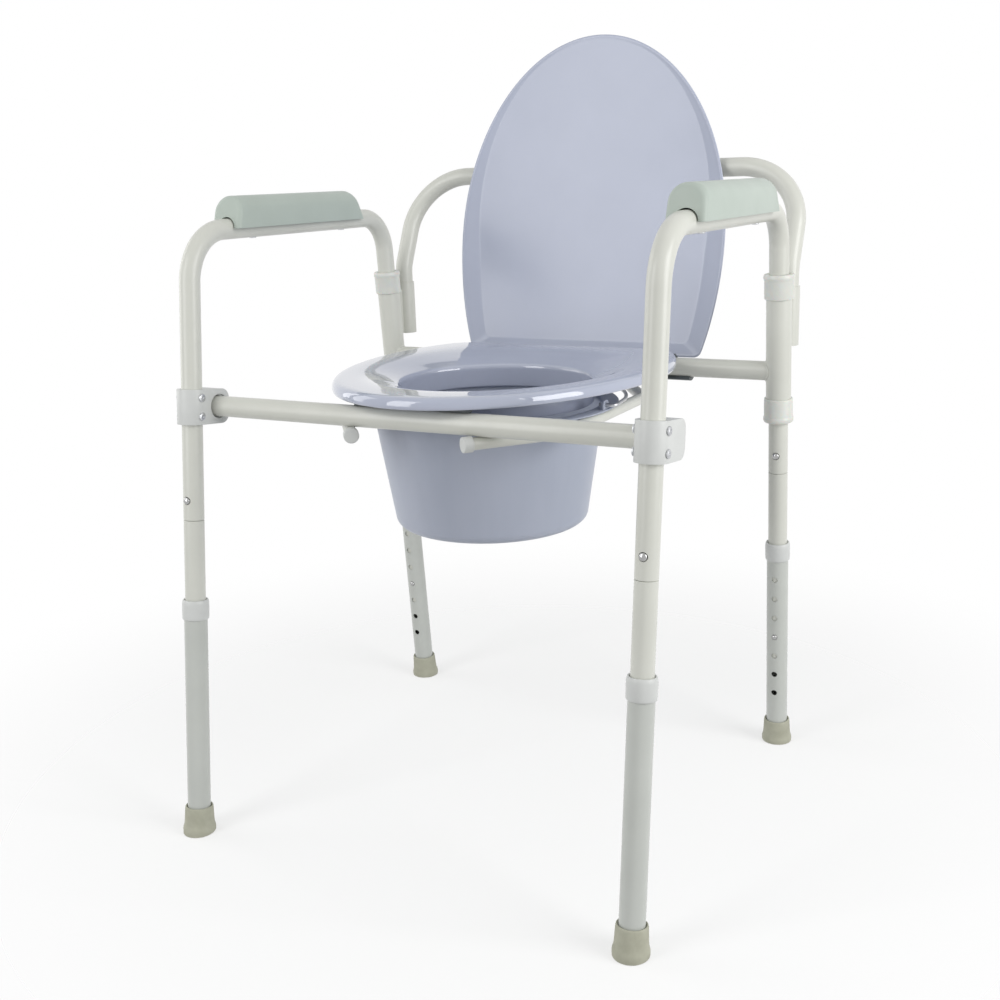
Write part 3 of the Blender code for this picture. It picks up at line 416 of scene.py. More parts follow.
# inserts that slide in the lower legs, below the arm tubes
inserts = {"rings": [(0.0095, 0.110), (0.0111, 0.110), (0.0111, 0.3572), (0.0106, 0.3577), (0.0080, 0.3577)]}
insert = turned("insertBlank", inserts["rings"])

# collars on the lower legs' tops, slightly barrelled, with a rolled lip
collars = {
    "rings": [
        (0.0128, 0.2475), (0.0139, 0.2475), (0.0143, 0.2480), (0.0145, 0.2490), (0.01465, 0.2535),
        (0.01465, 0.2610), (0.0146, 0.2650), (0.0143, 0.2676), (0.0137, 0.2691), (0.0128, 0.2695),
        (0.0120, 0.2692), (0.0115, 0.2684), (0.01135, 0.2670), (0.01135, 0.2637), (0.0128, 0.2635),
    ],
}
collar = turned("collarBlank", collars["rings"], hollow=True)

# spring buttons: short chromed pins with a domed head; z is the way they face
buttons = {"heightRadius": 0.0032, "heightTop": 0.0143, "frameRadius": 0.0040, "frameTop": 0.0131,
           "stem": 0.0068, "dome": 0.55, "frameUp": 0.022}


def button(name, radius, top):
    dome = radius * buttons["dome"]
    rings = [(radius, top - buttons["stem"]), (radius, top - dome)]
    for degrees in range(10, 81, 10):
        turn = math.radians(degrees)
        rings.append((radius * math.cos(turn), top - dome * (1 - math.sin(turn))))
    return turned(name, rings, 32)


heightButton = button("heightButtonBlank", buttons["heightRadius"], buttons["heightTop"])
frameButton = button("frameButtonBlank", buttons["frameRadius"], buttons["frameTop"])
frameButtonUp = legs["armEnd"] + buttons["frameUp"]

for sideName, side in sides.items():
    for end in ("front", "rear"):
        label = f"{end}_{sideName}"
        camel = end + sideName.title()
        here = legPlace(side, end)
        facing = 1 if end == "front" else -1  # the height holes face the middle of the chair
        foot = duplicate(tip, camel + "Tip", here)
        bpy.ops.object.mode_set(mode="EDIT")
        bpy.ops.mesh.select_all(action="SELECT")
        bpy.ops.mesh.bisect(plane_co=(0, 0, 0), plane_no=(0, 0, 1), clear_inner=True, use_fill=True)
        bpy.ops.object.mode_set(mode="OBJECT")
        softEdges(foot, tips["edge"], 3, 50)
        dress(foot, label + "_leg", tipRubber, "tip_rubber", label + "_rubber_tip")
        spin = Matrix.Rotation(0 if facing > 0 else math.pi, 4, "Z")
        dress(duplicate(leg, camel + "LowerLeg", here @ spin), label + "_leg", legCoat, "leg_coat",
              label + "_lower_leg")
        dress(duplicate(collar, camel + "Collar", here), label + "_leg", nylon, "nylon",
              label + "_leg_collar")
        dress(duplicate(insert, camel + "Insert", here), "frame", powderCoat, "powder_coat",
              label + "_leg_insert")
        lock = here @ Matrix.Translation((0, 0, lowerLegs["lock"]))
        lock = lock @ Matrix.Rotation(-facing * math.pi / 2, 4, "X")
        dress(duplicate(heightButton, camel + "HeightButton", lock), label + "_height_button",
              chrome, "chrome", label + "_height_button")
        snap = here @ Matrix.Translation((0, 0, frameButtonUp)) @ Matrix.Rotation(math.pi / 2, 4, "X")
        dress(duplicate(frameButton, camel + "FrameButton", snap), label + "_frame_button",
              chrome, "chrome", label + "_frame_button")
discard(tip, leg, insert, collar, heightButton, frameButton)
print("legs made")

# arm tubes: front upright, arm and rear upright in one bend, with the spring buttons' holes
armTubes = {"chamfer": 0.0006, "holeFrom": -0.02, "holeTo": -0.0085, "clear": 0.0005}
for sideName, side in sides.items():
    arm = bent(sideName + "ArmTube", armPath(side), legs["tubeRadius"], 30, chamfer=armTubes["chamfer"])
    for end in ("front", "rear"):
        drill = bar("drill", (0, armTubes["holeFrom"], frameButtonUp), (0, armTubes["holeTo"], frameButtonUp),
                    buttons["frameRadius"] + armTubes["clear"], 32)
        combine(arm, place(drill, legPlace(side, end)), "DIFFERENCE")
    dress(arm, "frame", powderCoat, "powder_coat", sideName + "_arm_tube")

# armrest pads: loaf-shaped, with leaning ends and a groove for the tube
# the three From values only tell the blank's edges apart
pads = {"front": -0.1333, "rear": 0.1112, "bottom": 0.6605, "top": 0.695, "half": 0.0200,
        "frontSlope": 0.010, "rearSlope": 0.016, "sideSlope": 0.0012,
        "crown": 0.0165, "frontEdge": 0.0055, "rearEdge": 0.0100, "edge": 0.0010, "groove": 0.0128,
        "upFrom": 0.01, "endFrom": 0.05, "longFrom": 0.1}
pad = block("padBlank", (-pads["half"], pads["front"], pads["bottom"]),
            (pads["half"], pads["rear"], pads["top"]))
middle = (pads["front"] + pads["rear"]) / 2
aboveBottom = pads["bottom"] + pads["upFrom"]
for vertex in pad.data.vertices:
    if vertex.co.z > aboveBottom:
        vertex.co.x += math.copysign(pads["sideSlope"], -vertex.co.x)
        vertex.co.y += pads["frontSlope"] if vertex.co.y < middle else -pads["rearSlope"]
# the two long top edges, then all edges of each end but the bottom one
chooseEdges(pad, lambda a, b: min(a.z, b.z) > aboveBottom and abs(a.y - b.y) > pads["longFrom"])
roundChosen(pads["crown"], 10)
for edge, sign in (("frontEdge", -1), ("rearEdge", 1)):
    chooseEdges(pad, lambda a, b: min(sign * (a.y - middle), sign * (b.y - middle)) > pads["endFrom"]
                and abs(a.y - b.y) < pads["endFrom"] and max(a.z, b.z) > pads["bottom"] + slack)
    roundChosen(pads[edge], 6)
pick(pad)
groovePath = [(p.x - legs["halfWidth"], p.y, p.z) for p in armPath(1)]
combine(pad, bent("groove", groovePath, pads["groove"]), "DIFFERENCE")
softEdges(tidy(pad), pads["edge"], 3)

# screws under the arms, with a cross slot
screws = {"y": (-0.0883, 0.0812), "slotHalf": (0.0020, 0.0004), "slotZ": (-0.0030, -0.0002), "turn": 0.4,
          "rings": [(0.0040, 0.0004), (0.0040, -0.0001), (0.0037, -0.0005), (0.0030, -0.0008),
                    (0.0016, -0.0009)]}
screw = turned("screwBlank", screws["rings"], 32)
for turn in (0, math.pi / 2):
    long, wide = screws["slotHalf"]
    slot = block("slot", (-long, -wide, screws["slotZ"][0]), (long, wide, screws["slotZ"][1]))
    combine(screw, place(slot, Matrix.Rotation(turn + screws["turn"], 4, "Z")), "DIFFERENCE")
for sideName, side in sides.items():
    across = Matrix.Translation((side * legs["halfWidth"], 0, 0))
    dress(duplicate(pad, sideName + "ArmPad", across), "frame", padPlastic, "pad_plastic",
          sideName + "_arm_pad")
    for end, y in zip(("front", "rear"), screws["y"]):
        under = across @ Matrix.Translation((0, y, legs["armHeight"] - legs["tubeRadius"]))
        dress(duplicate(screw, sideName + end.title() + "PadScrew", under), "frame", zinc, "zinc",
              f"{sideName}_{end}_pad_screw")
discard(pad, screw)
print("arms made")

# front bar in its two brackets
bars = {"radius": 0.0111, "frontY": -0.1867, "frontZ": 0.475, "frontEnd": 0.2669,
        "rearY": 0.1864, "rearZ": 0.478}
frontEnds = [(side * bars["frontEnd"], bars["frontY"], bars["frontZ"]) for side in (-1, 1)]
dress(bar("frontBar", *frontEnds, bars["radius"]), "frame", powderCoat, "powder_coat", "front_bar")

# brackets, in the right leg's frame: a collar round the leg, flush with the lobe that holds the bar's end
brackets = {"mid": 0.4813, "height": 0.0375, "radius": 0.0158, "behind": 0.0256, "back": 0.0412,
            "corner": 0.011, "clear": 0.0003, "socket": 0.0119, "depth": 0.020,
            "mouth": 0.0133, "mouthDepth": 0.0030, "drill": -0.06, "edge": 0.0013}
low, high = (brackets["mid"] + half * brackets["height"] for half in (-0.5, 0.5))
lobe = block("rightBracket", (-brackets["radius"], 0, low), (brackets["radius"], brackets["back"], high))
chooseEdges(lobe, lambda a, b: min(a.y, b.y) > brackets["back"] - slack and abs(a.z - b.z) < slack)
roundChosen(brackets["corner"], 10)
pick(lobe)
combine(lobe, bar("collar", (0, 0, low), (0, 0, high), brackets["radius"], 96), "UNION")
hole = bar("hole", (0, 0, low - pastCut), (0, 0, high + pastCut), legs["tubeRadius"] + brackets["clear"])
combine(lobe, hole, "DIFFERENCE")
for radius, depth in ((brackets["socket"], brackets["depth"]), (brackets["mouth"], brackets["mouthDepth"])):
    ends = [(x, brackets["behind"], brackets["mid"]) for x in (brackets["drill"], depth - brackets["radius"])]
    combine(lobe, bar("socket", *ends, radius), "DIFFERENCE")
softEdges(tidy(lobe), brackets["edge"], 3)

# rivets through the brackets, their heads with a small hollow
rivets = {"y": -0.0015, "gap": 0.020, "grip": 0.0159,
          "rings": [(0.0036, -0.0012), (0.0044, 0), (0.0044, 0.0003), (0.0040, 0.0011), (0.0031, 0.0016),
                    (0.0018, 0.0016), (0.0013, 0.0006)]}
rivet = turned("rivetBlank", rivets["rings"], 32)
for sideName, side in sides.items():
    here = legPlace(side, "front")
    mirror = Matrix.Scale(side, 4, (1, 0, 0))
    dress(duplicate(lobe, sideName + "FrontBracket", here @ mirror), "frame", nylon, "nylon",
          sideName + "_front_bracket")
    for name, up in (("lower", -0.5), ("upper", 0.5)):
        height = brackets["mid"] + up * rivets["gap"]
        heads = []
        for out in (-1, 1):
            spot = Matrix.Translation((out * rivets["grip"], rivets["y"], height))
            turn = Matrix.Rotation(out * math.pi / 2, 4, "Y")
            heads.append(duplicate(rivet, sideName + name.title() + "Rivet", here @ spot @ turn))
        pick(*heads)
        bpy.ops.object.join()
        dress(bpy.context.object, "frame", zinc, "zinc", f"{sideName}_{name}_bracket_rivet")
discard(lobe, rivet)

# back frame: sleeves, rear bar and backrest sockets welded as one
back = {"sleeve": 0.0143, "bore": 0.0128, "low": 0.427, "high": 0.584,
        "socket": 0.0127, "socketBore": 0.0114, "setback": 0.039, "socketLow": 0.504, "socketHigh": 0.572,
        "web": 0.003, "webHigh": 0.5624, "bead": 0.0013, "beadSteps": 48, "past": 0.02}
rearEnds = {side: atHeight(side, "rear", bars["rearZ"]) for side in (-1, 1)}
socketY = atHeight(1, "rear", (back["socketLow"] + back["socketHigh"]) / 2).y + back["setback"]


def sleeve(side, radius, past=0.0):
    tube = bar("sleeve", (0, 0, back["low"] - past), (0, 0, back["high"] + past), radius)
    return place(tube, legPlace(side, "rear"))


def socket(side, radius, past=0.0):
    x = side * legs["halfWidth"]
    low, high = back["socketLow"] - past, back["socketHigh"] + past
    return bar("socket", (x, socketY, low), (x, socketY, high), radius)


# the weld where the bar meets a sleeve: a thin bead along the line where the two round surfaces cross
def weldBead(side):
    lean = math.radians(legs["lean"]["rear"])
    ring = []
    for step in range(back["beadSteps"]):
        turn = 2 * math.pi * step / back["beadSteps"]
        across, up = bars["radius"] * math.cos(turn), bars["radius"] * math.sin(turn)
        reach = math.sqrt(back["sleeve"] ** 2 - across ** 2)
        y = across * math.cos(lean) + up * math.sin(lean)
        z = up * math.cos(lean) - across * math.sin(lean)
        ring.append(rearEnds[side] + Vector((-side * reach, y, z)))
    return bent("weld", ring, back["bead"], 6, closed=True)


backFrame = bar("backFrame", *rearEnds.values(), bars["radius"])
for side in (-1, 1):
    combine(backFrame, sleeve(side, back["sleeve"]), "UNION")
    web = block("web", (-back["web"], back["bore"], back["socketLow"]),
                (back["web"], back["setback"], back["webHigh"]))
    combine(backFrame, place(web, legPlace(side, "rear")), "UNION")
    combine(backFrame, socket(side, back["socket"]), "UNION")
for side in (-1, 1):
    combine(backFrame, sleeve(side, back["bore"], back["past"]), "DIFFERENCE")
    combine(backFrame, socket(side, back["socketBore"], back["past"]), "DIFFERENCE")
pick(backFrame, *[weldBead(side) for side in (-1, 1)])
bpy.ops.object.join()
dress(backFrame, "frame", powderCoat, "powder_coat", "back_frame")

# bushes over the sleeves' ends, with a rolled outer lip
bushes = {
    "rings": [
        (0.0146, 0), (0.0158, 0), (0.0163, 0.0004), (0.0165, 0.0012), (0.0165, 0.0205),
        (0.0168, 0.0218), (0.0172, 0.0228), (0.0173, 0.0245), (0.0171, 0.0264), (0.0164, 0.0277),
        (0.0154, 0.0280), (0.0122, 0.0280), (0.0114, 0.0275), (0.0114, 0.0213), (0.0146, 0.0213),
    ],
    "upper": 0.563, "lower": 0.448,
}
bush = turned("bushBlank", bushes["rings"], hollow=True)
for sideName, side in sides.items():
    here = legPlace(side, "rear")
    for name, flip in (("upper", 0), ("lower", math.pi)):
        spot = here @ Matrix.Translation((0, 0, bushes[name])) @ Matrix.Rotation(flip, 4, "X")
        dress(duplicate(bush, sideName + name.title() + "Bush", spot), "frame", bushNylon, "nylon",
              f"{sideName}_{name}_sleeve_bush")
discard(bush)

# backrest bar, raked back above its sockets
backrest = {"radius": 0.0111, "foot": 0.517, "kink": 0.592, "topY": 0.2742, "topZ": 0.707,
            "bends": [(0.040, 12), (0.075, 28)]}
half = legs["halfWidth"]
corners = [(half, socketY, backrest["foot"]), (half, socketY, backrest["kink"]),
           (half, backrest["topY"], backrest["topZ"])]
corners += [(-x, y, z) for x, y, z in reversed(corners)]
backrestPath = rounded(corners, backrest["bends"] + backrest["bends"][::-1])
backrestBar = bent("backrestBar", backrestPath, backrest["radius"], 30)
dress(backrestBar, "frame", powderCoat, "powder_coat", "backrest_bar")
print("frame made")

# bucket rails under the two bars, bowed out round the bucket, and their end caps
rails = {"radius": 0.00635, "frontX": 0.076, "rearX": 0.068, "wideX": 0.13455,
         "frontZ": 0.45725, "rearZ": 0.46025, "ahead": -0.1130, "behind": 0.0900,
         "overhang": 0.017, "bend": (0.040, 14)}
caps = {"rings": [(0.00665, -0.0085), (0.0076, -0.0085), (0.00795, -0.0081), (0.00795, 0.0003),
                  (0.0077, 0.0010), (0.0071, 0.0014), (0.0060, 0.0015)]}
cap = turned("capBlank", caps["rings"], 48)
for sideName, side in sides.items():
    corners = [(rails["frontX"], bars["frontY"], rails["frontZ"]),
               (rails["wideX"], rails["ahead"], rails["frontZ"]),
               (rails["wideX"], rails["behind"], rails["frontZ"]),
               (rails["rearX"], bars["rearY"], rails["rearZ"])]
    corners = [Vector((side * x, y, z)) for x, y, z in corners]
    for last, before in ((0, 1), (3, 2)):
        corners[last] += (corners[last] - corners[before]).normalized() * rails["overhang"]
    rail = bent(sideName + "BucketRail", rounded(corners, [rails["bend"]] * 2), rails["radius"], 14)
    dress(rail, "frame", powderCoat, "powder_coat", sideName + "_bucket_rail")
    for name, railEnd, before in (("front", corners[0], corners[1]), ("rear", corners[3], corners[2])):
        turn = (railEnd - before).to_track_quat("Z", "Y").to_matrix().to_4x4()
        dress(duplicate(cap, sideName + name.title() + "RailCap", Matrix.Translation(railEnd) @ turn),
              "frame", nylon, "nylon", f"{sideName}_{name}_rail_cap")
discard(cap)

# bucket: tapered, with a shallow hollow under its floor, a flange and two drilled ears
bucketSizes = {"y": -0.0300, "floor": 0.3323, "flange": 0.4639, "low": 0.1084, "high": 0.127,
               "wall": 0.0022, "corner": 0.012, "rises": (0.002, 0.05, 0.100),
               "hollow": (0.060, 0.066), "hollowHigh": (0.0015, 0.0012),
               "rim": 0.1431, "bend": 0.0012, "edge": 0.0010, "edgeZ": (0.0006, 0.0016), "lip": 0.0002,
               "earThick": 0.0035, "earLong": 0.014, "earLow": 0.001, "earHigh": 0.0095,
               "earRound": 0.0055, "earEdge": 0.0004, "hole": 0.0045, "drill": (0.12, 0.16), "clear": 0.0003,
               "wire": 0.002, "wireSteps": 64, "wireFrom": 5, "spread": 0.008,
               "hook": 0.004, "hookLead": 0.030, "hookBend": (0.004, 8)}
b = bucketSizes
slope = (b["high"] - b["low"]) / (b["flange"] - b["floor"] - b["corner"])
flangeTop = b["flange"] + b["wall"]
holeZ = flangeTop + b["hole"]


# rounded corner between floor and side, seen from outside (no wall) or inside
def bucketCorner(angles, wall):
    radius = b["corner"] - wall
    corner = []
    for turn in map(math.radians, angles):
        corner.append((b["low"] - wall - radius * (1 - math.sin(turn)),
                       b["floor"] + wall + radius * (1 - math.cos(turn))))
    return corner


def bucketSide(rises, wall):
    return [(b["low"] + slope * rise - wall, b["floor"] + b["corner"] + rise) for rise in rises]


rings = [(b["hollow"][0], b["floor"] + b["hollowHigh"][0]), (b["hollow"][1], b["floor"])]
rings += bucketCorner(range(0, 91, 15), 0.0) + bucketSide(b["rises"], 0.0)
rings += [(b["high"], b["flange"] - b["bend"]), (b["high"] + b["bend"], b["flange"]),
          (b["rim"] - b["edge"], b["flange"])]
rings += [(b["rim"], b["flange"] + up) for up in b["edgeZ"]]
rings += [(b["rim"] - b["edge"], flangeTop), (b["high"] + b["edge"], flangeTop),
          (b["high"] - b["wall"] + b["lip"], flangeTop - b["edge"])]
rings += bucketSide(b["rises"][::-1], b["wall"]) + bucketCorner(range(75, -1, -15), b["wall"])
rings += [(b["hollow"][1], b["floor"] + b["wall"]),
          (b["hollow"][0], b["floor"] + b["wall"] + b["hollowHigh"][1])]
bucket = turned("bucket", rings, 128)
out = b["rim"] - b["wall"]
for side in (-1, 1):
    near, far = sorted((side * out, side * (out - b["earThick"])))
    ear = block("ear", (near, -b["earLong"] / 2, b["flange"] + b["earLow"]),
                (far, b["earLong"] / 2, flangeTop + b["earHigh"]))
    chooseEdges(ear, lambda p, q: min(p.z, q.z) > flangeTop and abs(p.y - q.y) < slack)
    roundChosen(b["earRound"], 6)
    drill = bar("drill", *[(side * x, 0, holeZ) for x in b["drill"]], b["wire"] + b["clear"], 32)
    combine(ear, drill, "DIFFERENCE")
    softEdges(ear, b["earEdge"])
    combine(bucket, ear, "UNION")
dress(place(bucket, Matrix.Translation((0, b["y"], 0))), "bucket", bucketPlastic, "bucket_plastic", "bucket")

# wire handle folded back round the flange, hooked through the ears
spread, hook = b["rim"] + b["spread"], out - b["earThick"] - b["hook"]
pivot = Vector((0, b["y"], holeZ))
start = rounded([(hook, 0, 0), (spread, 0, 0), (spread, b["hookLead"], 0)], [b["hookBend"]])[:-1]
steps = b["wireSteps"]
turns = [math.pi * i / steps for i in range(b["wireFrom"], steps - b["wireFrom"] + 1)]
wire = start + [Vector((spread * math.cos(t), spread * math.sin(t), 0)) for t in turns]
wire += [Vector((-p.x, p.y, p.z)) for p in reversed(start)]
dress(bent("bucketHandle", [p + pivot for p in wire], b["wire"], 8), "handle", zinc, "zinc", "bucket_handle")
print("bucket made")

# plan of seat and lid: an egg, cut straight at the hinge with rounded corners; x and distance forwards
plan = {"half": 0.180, "widest": 0.156, "length": 0.4031, "front": 26, "sides": 14, "corner": 7,
        "rear": (0.8, 0.6, 0.4, 0.2)}
hinge = Vector((0, bars["rearY"], bars["rearZ"]))


def outline(inset, rear, spread, corner):
    width, front, start = plan["half"] - inset, plan["length"] - inset, rear + inset
    points = []
    for i in range(plan["front"] + 1):
        turn = math.pi / 2 * i / plan["front"]
        points.append((width * math.sin(turn), plan["widest"] + (front - plan["widest"]) * math.cos(turn)))

    def edge(forward):
        return width * math.sqrt(1 - ((plan["widest"] - forward) / spread) ** 2)

    bend = start + corner
    for i in range(1, plan["sides"] + 1):
        forward = plan["widest"] + (bend - plan["widest"]) * i / plan["sides"]
        points.append((edge(forward), forward))
    first, tip = points[-1], (edge(start), start)
    last = (tip[0] - corner, start)
    for i in range(1, plan["corner"] + 1):
        t = i / plan["corner"]
        points.append(tuple((1 - t) ** 2 * p + 2 * t * (1 - t) * q + t * t * r
                            for p, q, r in zip(first, tip, last)))
    points += [(last[0] * part, start) for part in plan["rear"]]
    points.append((0, start))
    return points + [(-x, forward) for x, forward in reversed(points[1:-1])]


def level(points, height):
    return [Vector((x, -forward, height)) for x, forward in points]


# seat ring: rounded rim, dished to the opening, with a skirt down into the bucket's mouth
# rim and lip are (inset or growth, height), dish is (share of the way to the opening, height)
seat = {"rear": 0.020, "spread": 0.215, "corner": 0.022,
        "openWide": 0.108, "openLong": 0.1025, "openY": -0.0140,
        "rim": [(0.0030, 0.0121), (0.0008, 0.0127), (0.0, 0.0148), (0.0004, 0.0190), (0.0018, 0.0220),
                (0.0042, 0.0241), (0.0075, 0.0249), (0.0120, 0.0250)],
        "dish": [(0.12, 0.0250), (0.30, 0.0249), (0.48, 0.0243), (0.64, 0.0227), (0.80, 0.0201)],
        "lip": [(0.0195, 0.0171), (0.0110, 0.0141), (0.0052, 0.0121), (0.0022, 0.0111), (0.0006, 0.0098),
                (0.0, 0.0080), (0.0, 0.0020), (0.0, -0.0068), (0.0, -0.0139), (0.0004, -0.0148),
                (0.0015, -0.0150), (0.0026, -0.0148), (0.0030, -0.0139), (0.0030, -0.0068), (0.0031, 0.0030),
                (0.0060, 0.0064), (0.0120, 0.0092), (0.0210, 0.0119), (0.0300, 0.0121)]}


def seatOutline(inset):
    return outline(inset, seat["rear"], seat["spread"], seat["corner"])


# the oval opening, one point for each point of the outline
def opening(grow):
    centre = bars["rearY"] - seat["openY"]
    wide, long = seat["openWide"] + grow, seat["openLong"] + grow
    points = []
    for x, forward in seatOutline(0):
        turn = math.atan2(forward - centre, x)
        reach = 1 / math.hypot(math.cos(turn) / wide, math.sin(turn) / long)
        points.append((reach * math.cos(turn), centre + reach * math.sin(turn)))
    return points


loops = [level(seatOutline(inset), height) for inset, height in seat["rim"]]
outer, inner = seatOutline(seat["rim"][-1][0]), opening(seat["lip"][0][0])
for part, height in seat["dish"]:
    between = [(x + (u - x) * part, y + (v - y) * part) for (x, y), (u, v) in zip(outer, inner)]
    loops.append(level(between, height))
loops += [level(opening(grow), height) for grow, height in seat["lip"]]
seatRing = skinned("seatRing", loops, closed=True)
modify(seatRing, "SUBSURF", levels=1, render_levels=1)
dress(place(seatRing, Matrix.Translation(hinge)), "seat", seatPlastic, "seat_plastic", "seat_ring", angle=60)

# bumpers under the seat's front, on the bar
bumpers = {"x": 0.050, "long": 0.036, "wide": 0.008, "low": 0.0084, "high": 0.0117,
           "ends": 2.2, "edge": 0.0009}
bumper = block("bumperBlank", (-bumpers["long"] / 2, -bumpers["wide"] / 2, bumpers["low"]),
               (bumpers["long"] / 2, bumpers["wide"] / 2, bumpers["high"]))
chooseEdges(bumper, lambda a, b: abs(a.z - b.z) > slack)
roundChosen(bumpers["wide"] / bumpers["ends"], 6)
pick(bumper)
softEdges(bumper, bumpers["edge"], 3)

# snap clips on the rear bar, with a foot under the seat; only the hook below the bar has the full width
clips = {"bore": 0.0115, "radius": 0.0156, "inner": 0.120, "outer": 0.158, "mouth": (212, 312),
         "steps": 40, "reach": 0.040, "clear": 0.0004, "footLow": 0.0057, "footTop": 0.0117,
         "narrow": 0.136, "narrowLow": -0.004, "cutHalf": 0.05, "cutHigh": 0.03, "edge": 0.0006}
mouthStart, mouthEnd = clips["mouth"]
sweep = mouthStart + 360 - mouthEnd
turns = [math.radians(mouthEnd + sweep * i / clips["steps"]) for i in range(clips["steps"] + 1)]
ring = [(clips["radius"] * math.sin(t), clips["radius"] * math.cos(t)) for t in turns]
ring += [(clips["bore"] * math.sin(t), clips["bore"] * math.cos(t)) for t in reversed(turns)]
ends = [[Vector((x, y, z)) for y, z in ring] for x in (clips["inner"], clips["outer"])]
clip = fillEnds(skinned("clipBlank", ends))
footY = -math.sqrt(clips["bore"] ** 2 - clips["footLow"] ** 2) - clips["clear"]
foot = block("foot", (clips["inner"], -clips["reach"], clips["footLow"]),
             (clips["outer"], footY, clips["footTop"]))
combine(clip, foot, "UNION")
cut = block("cut", (clips["narrow"], -clips["cutHalf"], clips["narrowLow"]),
            (clips["outer"] + pastCut, clips["cutHalf"], clips["cutHigh"]))
combine(clip, cut, "DIFFERENCE")
softEdges(tidy(clip), clips["edge"])
for sideName, side in sides.items():
    spot = Matrix.Translation((side * bumpers["x"], bars["frontY"], bars["rearZ"]))
    dress(duplicate(bumper, sideName + "SeatBumper", spot), "seat", clipNylon, "clip_nylon",
          sideName + "_seat_bumper")
    spot = Matrix.Translation(hinge) @ Matrix.Scale(side, 4, (1, 0, 0))
    dress(duplicate(clip, sideName + "HingeClip", spot), "seat", clipNylon, "clip_nylon",
          sideName + "_hinge_clip")
discard(bumper, clip)
print("seat made")

# lid: narrow rim, a sloped band that narrows towards the front, a flat panel, two knuckles on the rear bar
# edge is (inset, height), slope is (share over the band, share of the depth)
lidSizes = {"rear": 0.012, "spread": 0.297, "corner": 0.008, "plane": 0.0255, "thick": 0.0028, "lean": 9.8,
            "rim": 0.0048, "step": 0.0007, "band": 0.0268, "deep": 0.0054, "inner": 0.036, "backIn": 0.0014,
            "atHinge": 0.44, "full": 0.14, "gone": 0.375, "least": 0.04,
            "edge": [(0.0008, 0.0), (0.0026, 0.0), (0.0036, 0.0003), (0.0048, 0.0007)],
            "slope": [(0.45, 0.45), (0.88, 0.93), (0.94, 0.98), (1.0, 1.0)],
            "knuckle": (0.080, 0.034), "bore": 0.0115, "radius": 0.0156, "mouth": 0.85, "top": 0.6,
            "seat": 0.0185, "mouthLow": -0.03, "knuckleEdge": 0.0008, "panelNear": 0.0003, "panelMid": 0.0005}
d = lidSizes


# the band is full beside the hinge and nearly gone at the front
def bandShare(forward):
    share = (d["gone"] - forward) / (d["gone"] - d["full"])
    return d["least"] + (1 - d["least"]) * min(1, max(0, share))


# along the hinge the band is about half as wide as at the sides
def lidOutline(inset):
    return outline(inset, d["rear"] - d["atHinge"] * max(0, inset - d["rim"]), d["spread"], d["corner"])


def lidLoop(inset, height):
    return level(lidOutline(inset), d["plane"] + height)


def sunk(share):
    return d["plane"] + d["step"] + (d["deep"] - d["step"]) * share


# across is how far over the band, down how far to the panel; the panel sinks with the band beside it
def bandLoop(across, down, thick=0.0):
    points = []
    for rim, inner in zip(lidOutline(d["rim"]), lidOutline(d["band"])):
        share = bandShare(rim[1])
        x, forward = (p + (q - p) * across * share for p, q in zip(rim, inner))
        points.append(Vector((x, -forward, sunk(down * share) + thick)))
    return points


def panelLoop(thick=0.0):
    return [Vector((x, -forward, sunk(bandShare(forward)) + thick)) for x, forward in lidOutline(d["inner"])]


# joins the right half of an open loop to the left half, so the panel stays flat from side to side
def panelled(piece, thick):
    def onPanel(v):
        return abs(v.z - sunk(bandShare(-v.y)) - thick) < d["panelNear"] and abs(v.x) > d["panelMid"]

    chooseEdges(piece, lambda p, q: onPanel(p) and onPanel(q) and p.x * q.x > 0)
    mesh = bmesh.from_edit_mesh(piece.data)
    for edge in mesh.edges:
        if edge.select and not edge.is_boundary:
            edge.select_set(False)
    bmesh.update_edit_mesh(piece.data)
    bpy.ops.mesh.bridge_edge_loops()


# from the panel's inside, over the band and round the edge, to the panel's back
loops = [panelLoop()]
loops += [bandLoop(*part) for part in reversed(d["slope"])]
loops += [lidLoop(*part) for part in reversed(d["edge"])]
loops += [lidLoop(0.0, d["thick"] * part) for part in (0.35, 0.65)]
loops += [lidLoop(max(d["edge"][0][0], inset - d["backIn"]), height + d["thick"])
          for inset, height in d["edge"]]
loops += [bandLoop(*part, d["thick"]) for part in d["slope"]]
loops += [panelLoop(d["thick"])]
lid = skinned("lid", loops)
for thick in (0.0, d["thick"]):
    panelled(lid, thick)
fillEnds(lid)
modify(lid, "SUBSURF", levels=1, render_levels=1)
for side in (-1, 1):
    near, far = sorted((side * d["knuckle"][0], side * sum(d["knuckle"])))
    knuckle = block("knuckle", (near, -d["seat"], 0),
                    (far, d["bore"] * d["top"], d["plane"] + d["thick"] / 2))
    combine(knuckle, bar("round", (near, 0, 0), (far, 0, 0), d["radius"], 48), "UNION")
    near, far, gape = near - pastCut, far + pastCut, d["bore"] * d["mouth"]
    combine(knuckle, bar("bore", (near, 0, 0), (far, 0, 0), d["bore"], 48), "DIFFERENCE")
    combine(knuckle, block("mouth", (near, -gape, d["mouthLow"]), (far, gape, 0)), "DIFFERENCE")
    softEdges(tidy(knuckle), d["knuckleEdge"])
    combine(lid, knuckle, "UNION")
raised = Matrix.Translation(hinge) @ Matrix.Rotation(-math.radians(90 + d["lean"]), 4, "X")
dress(place(lid, raised), "lid", lidPlastic, "seat_plastic", "lid", angle=40)
print("lid made")

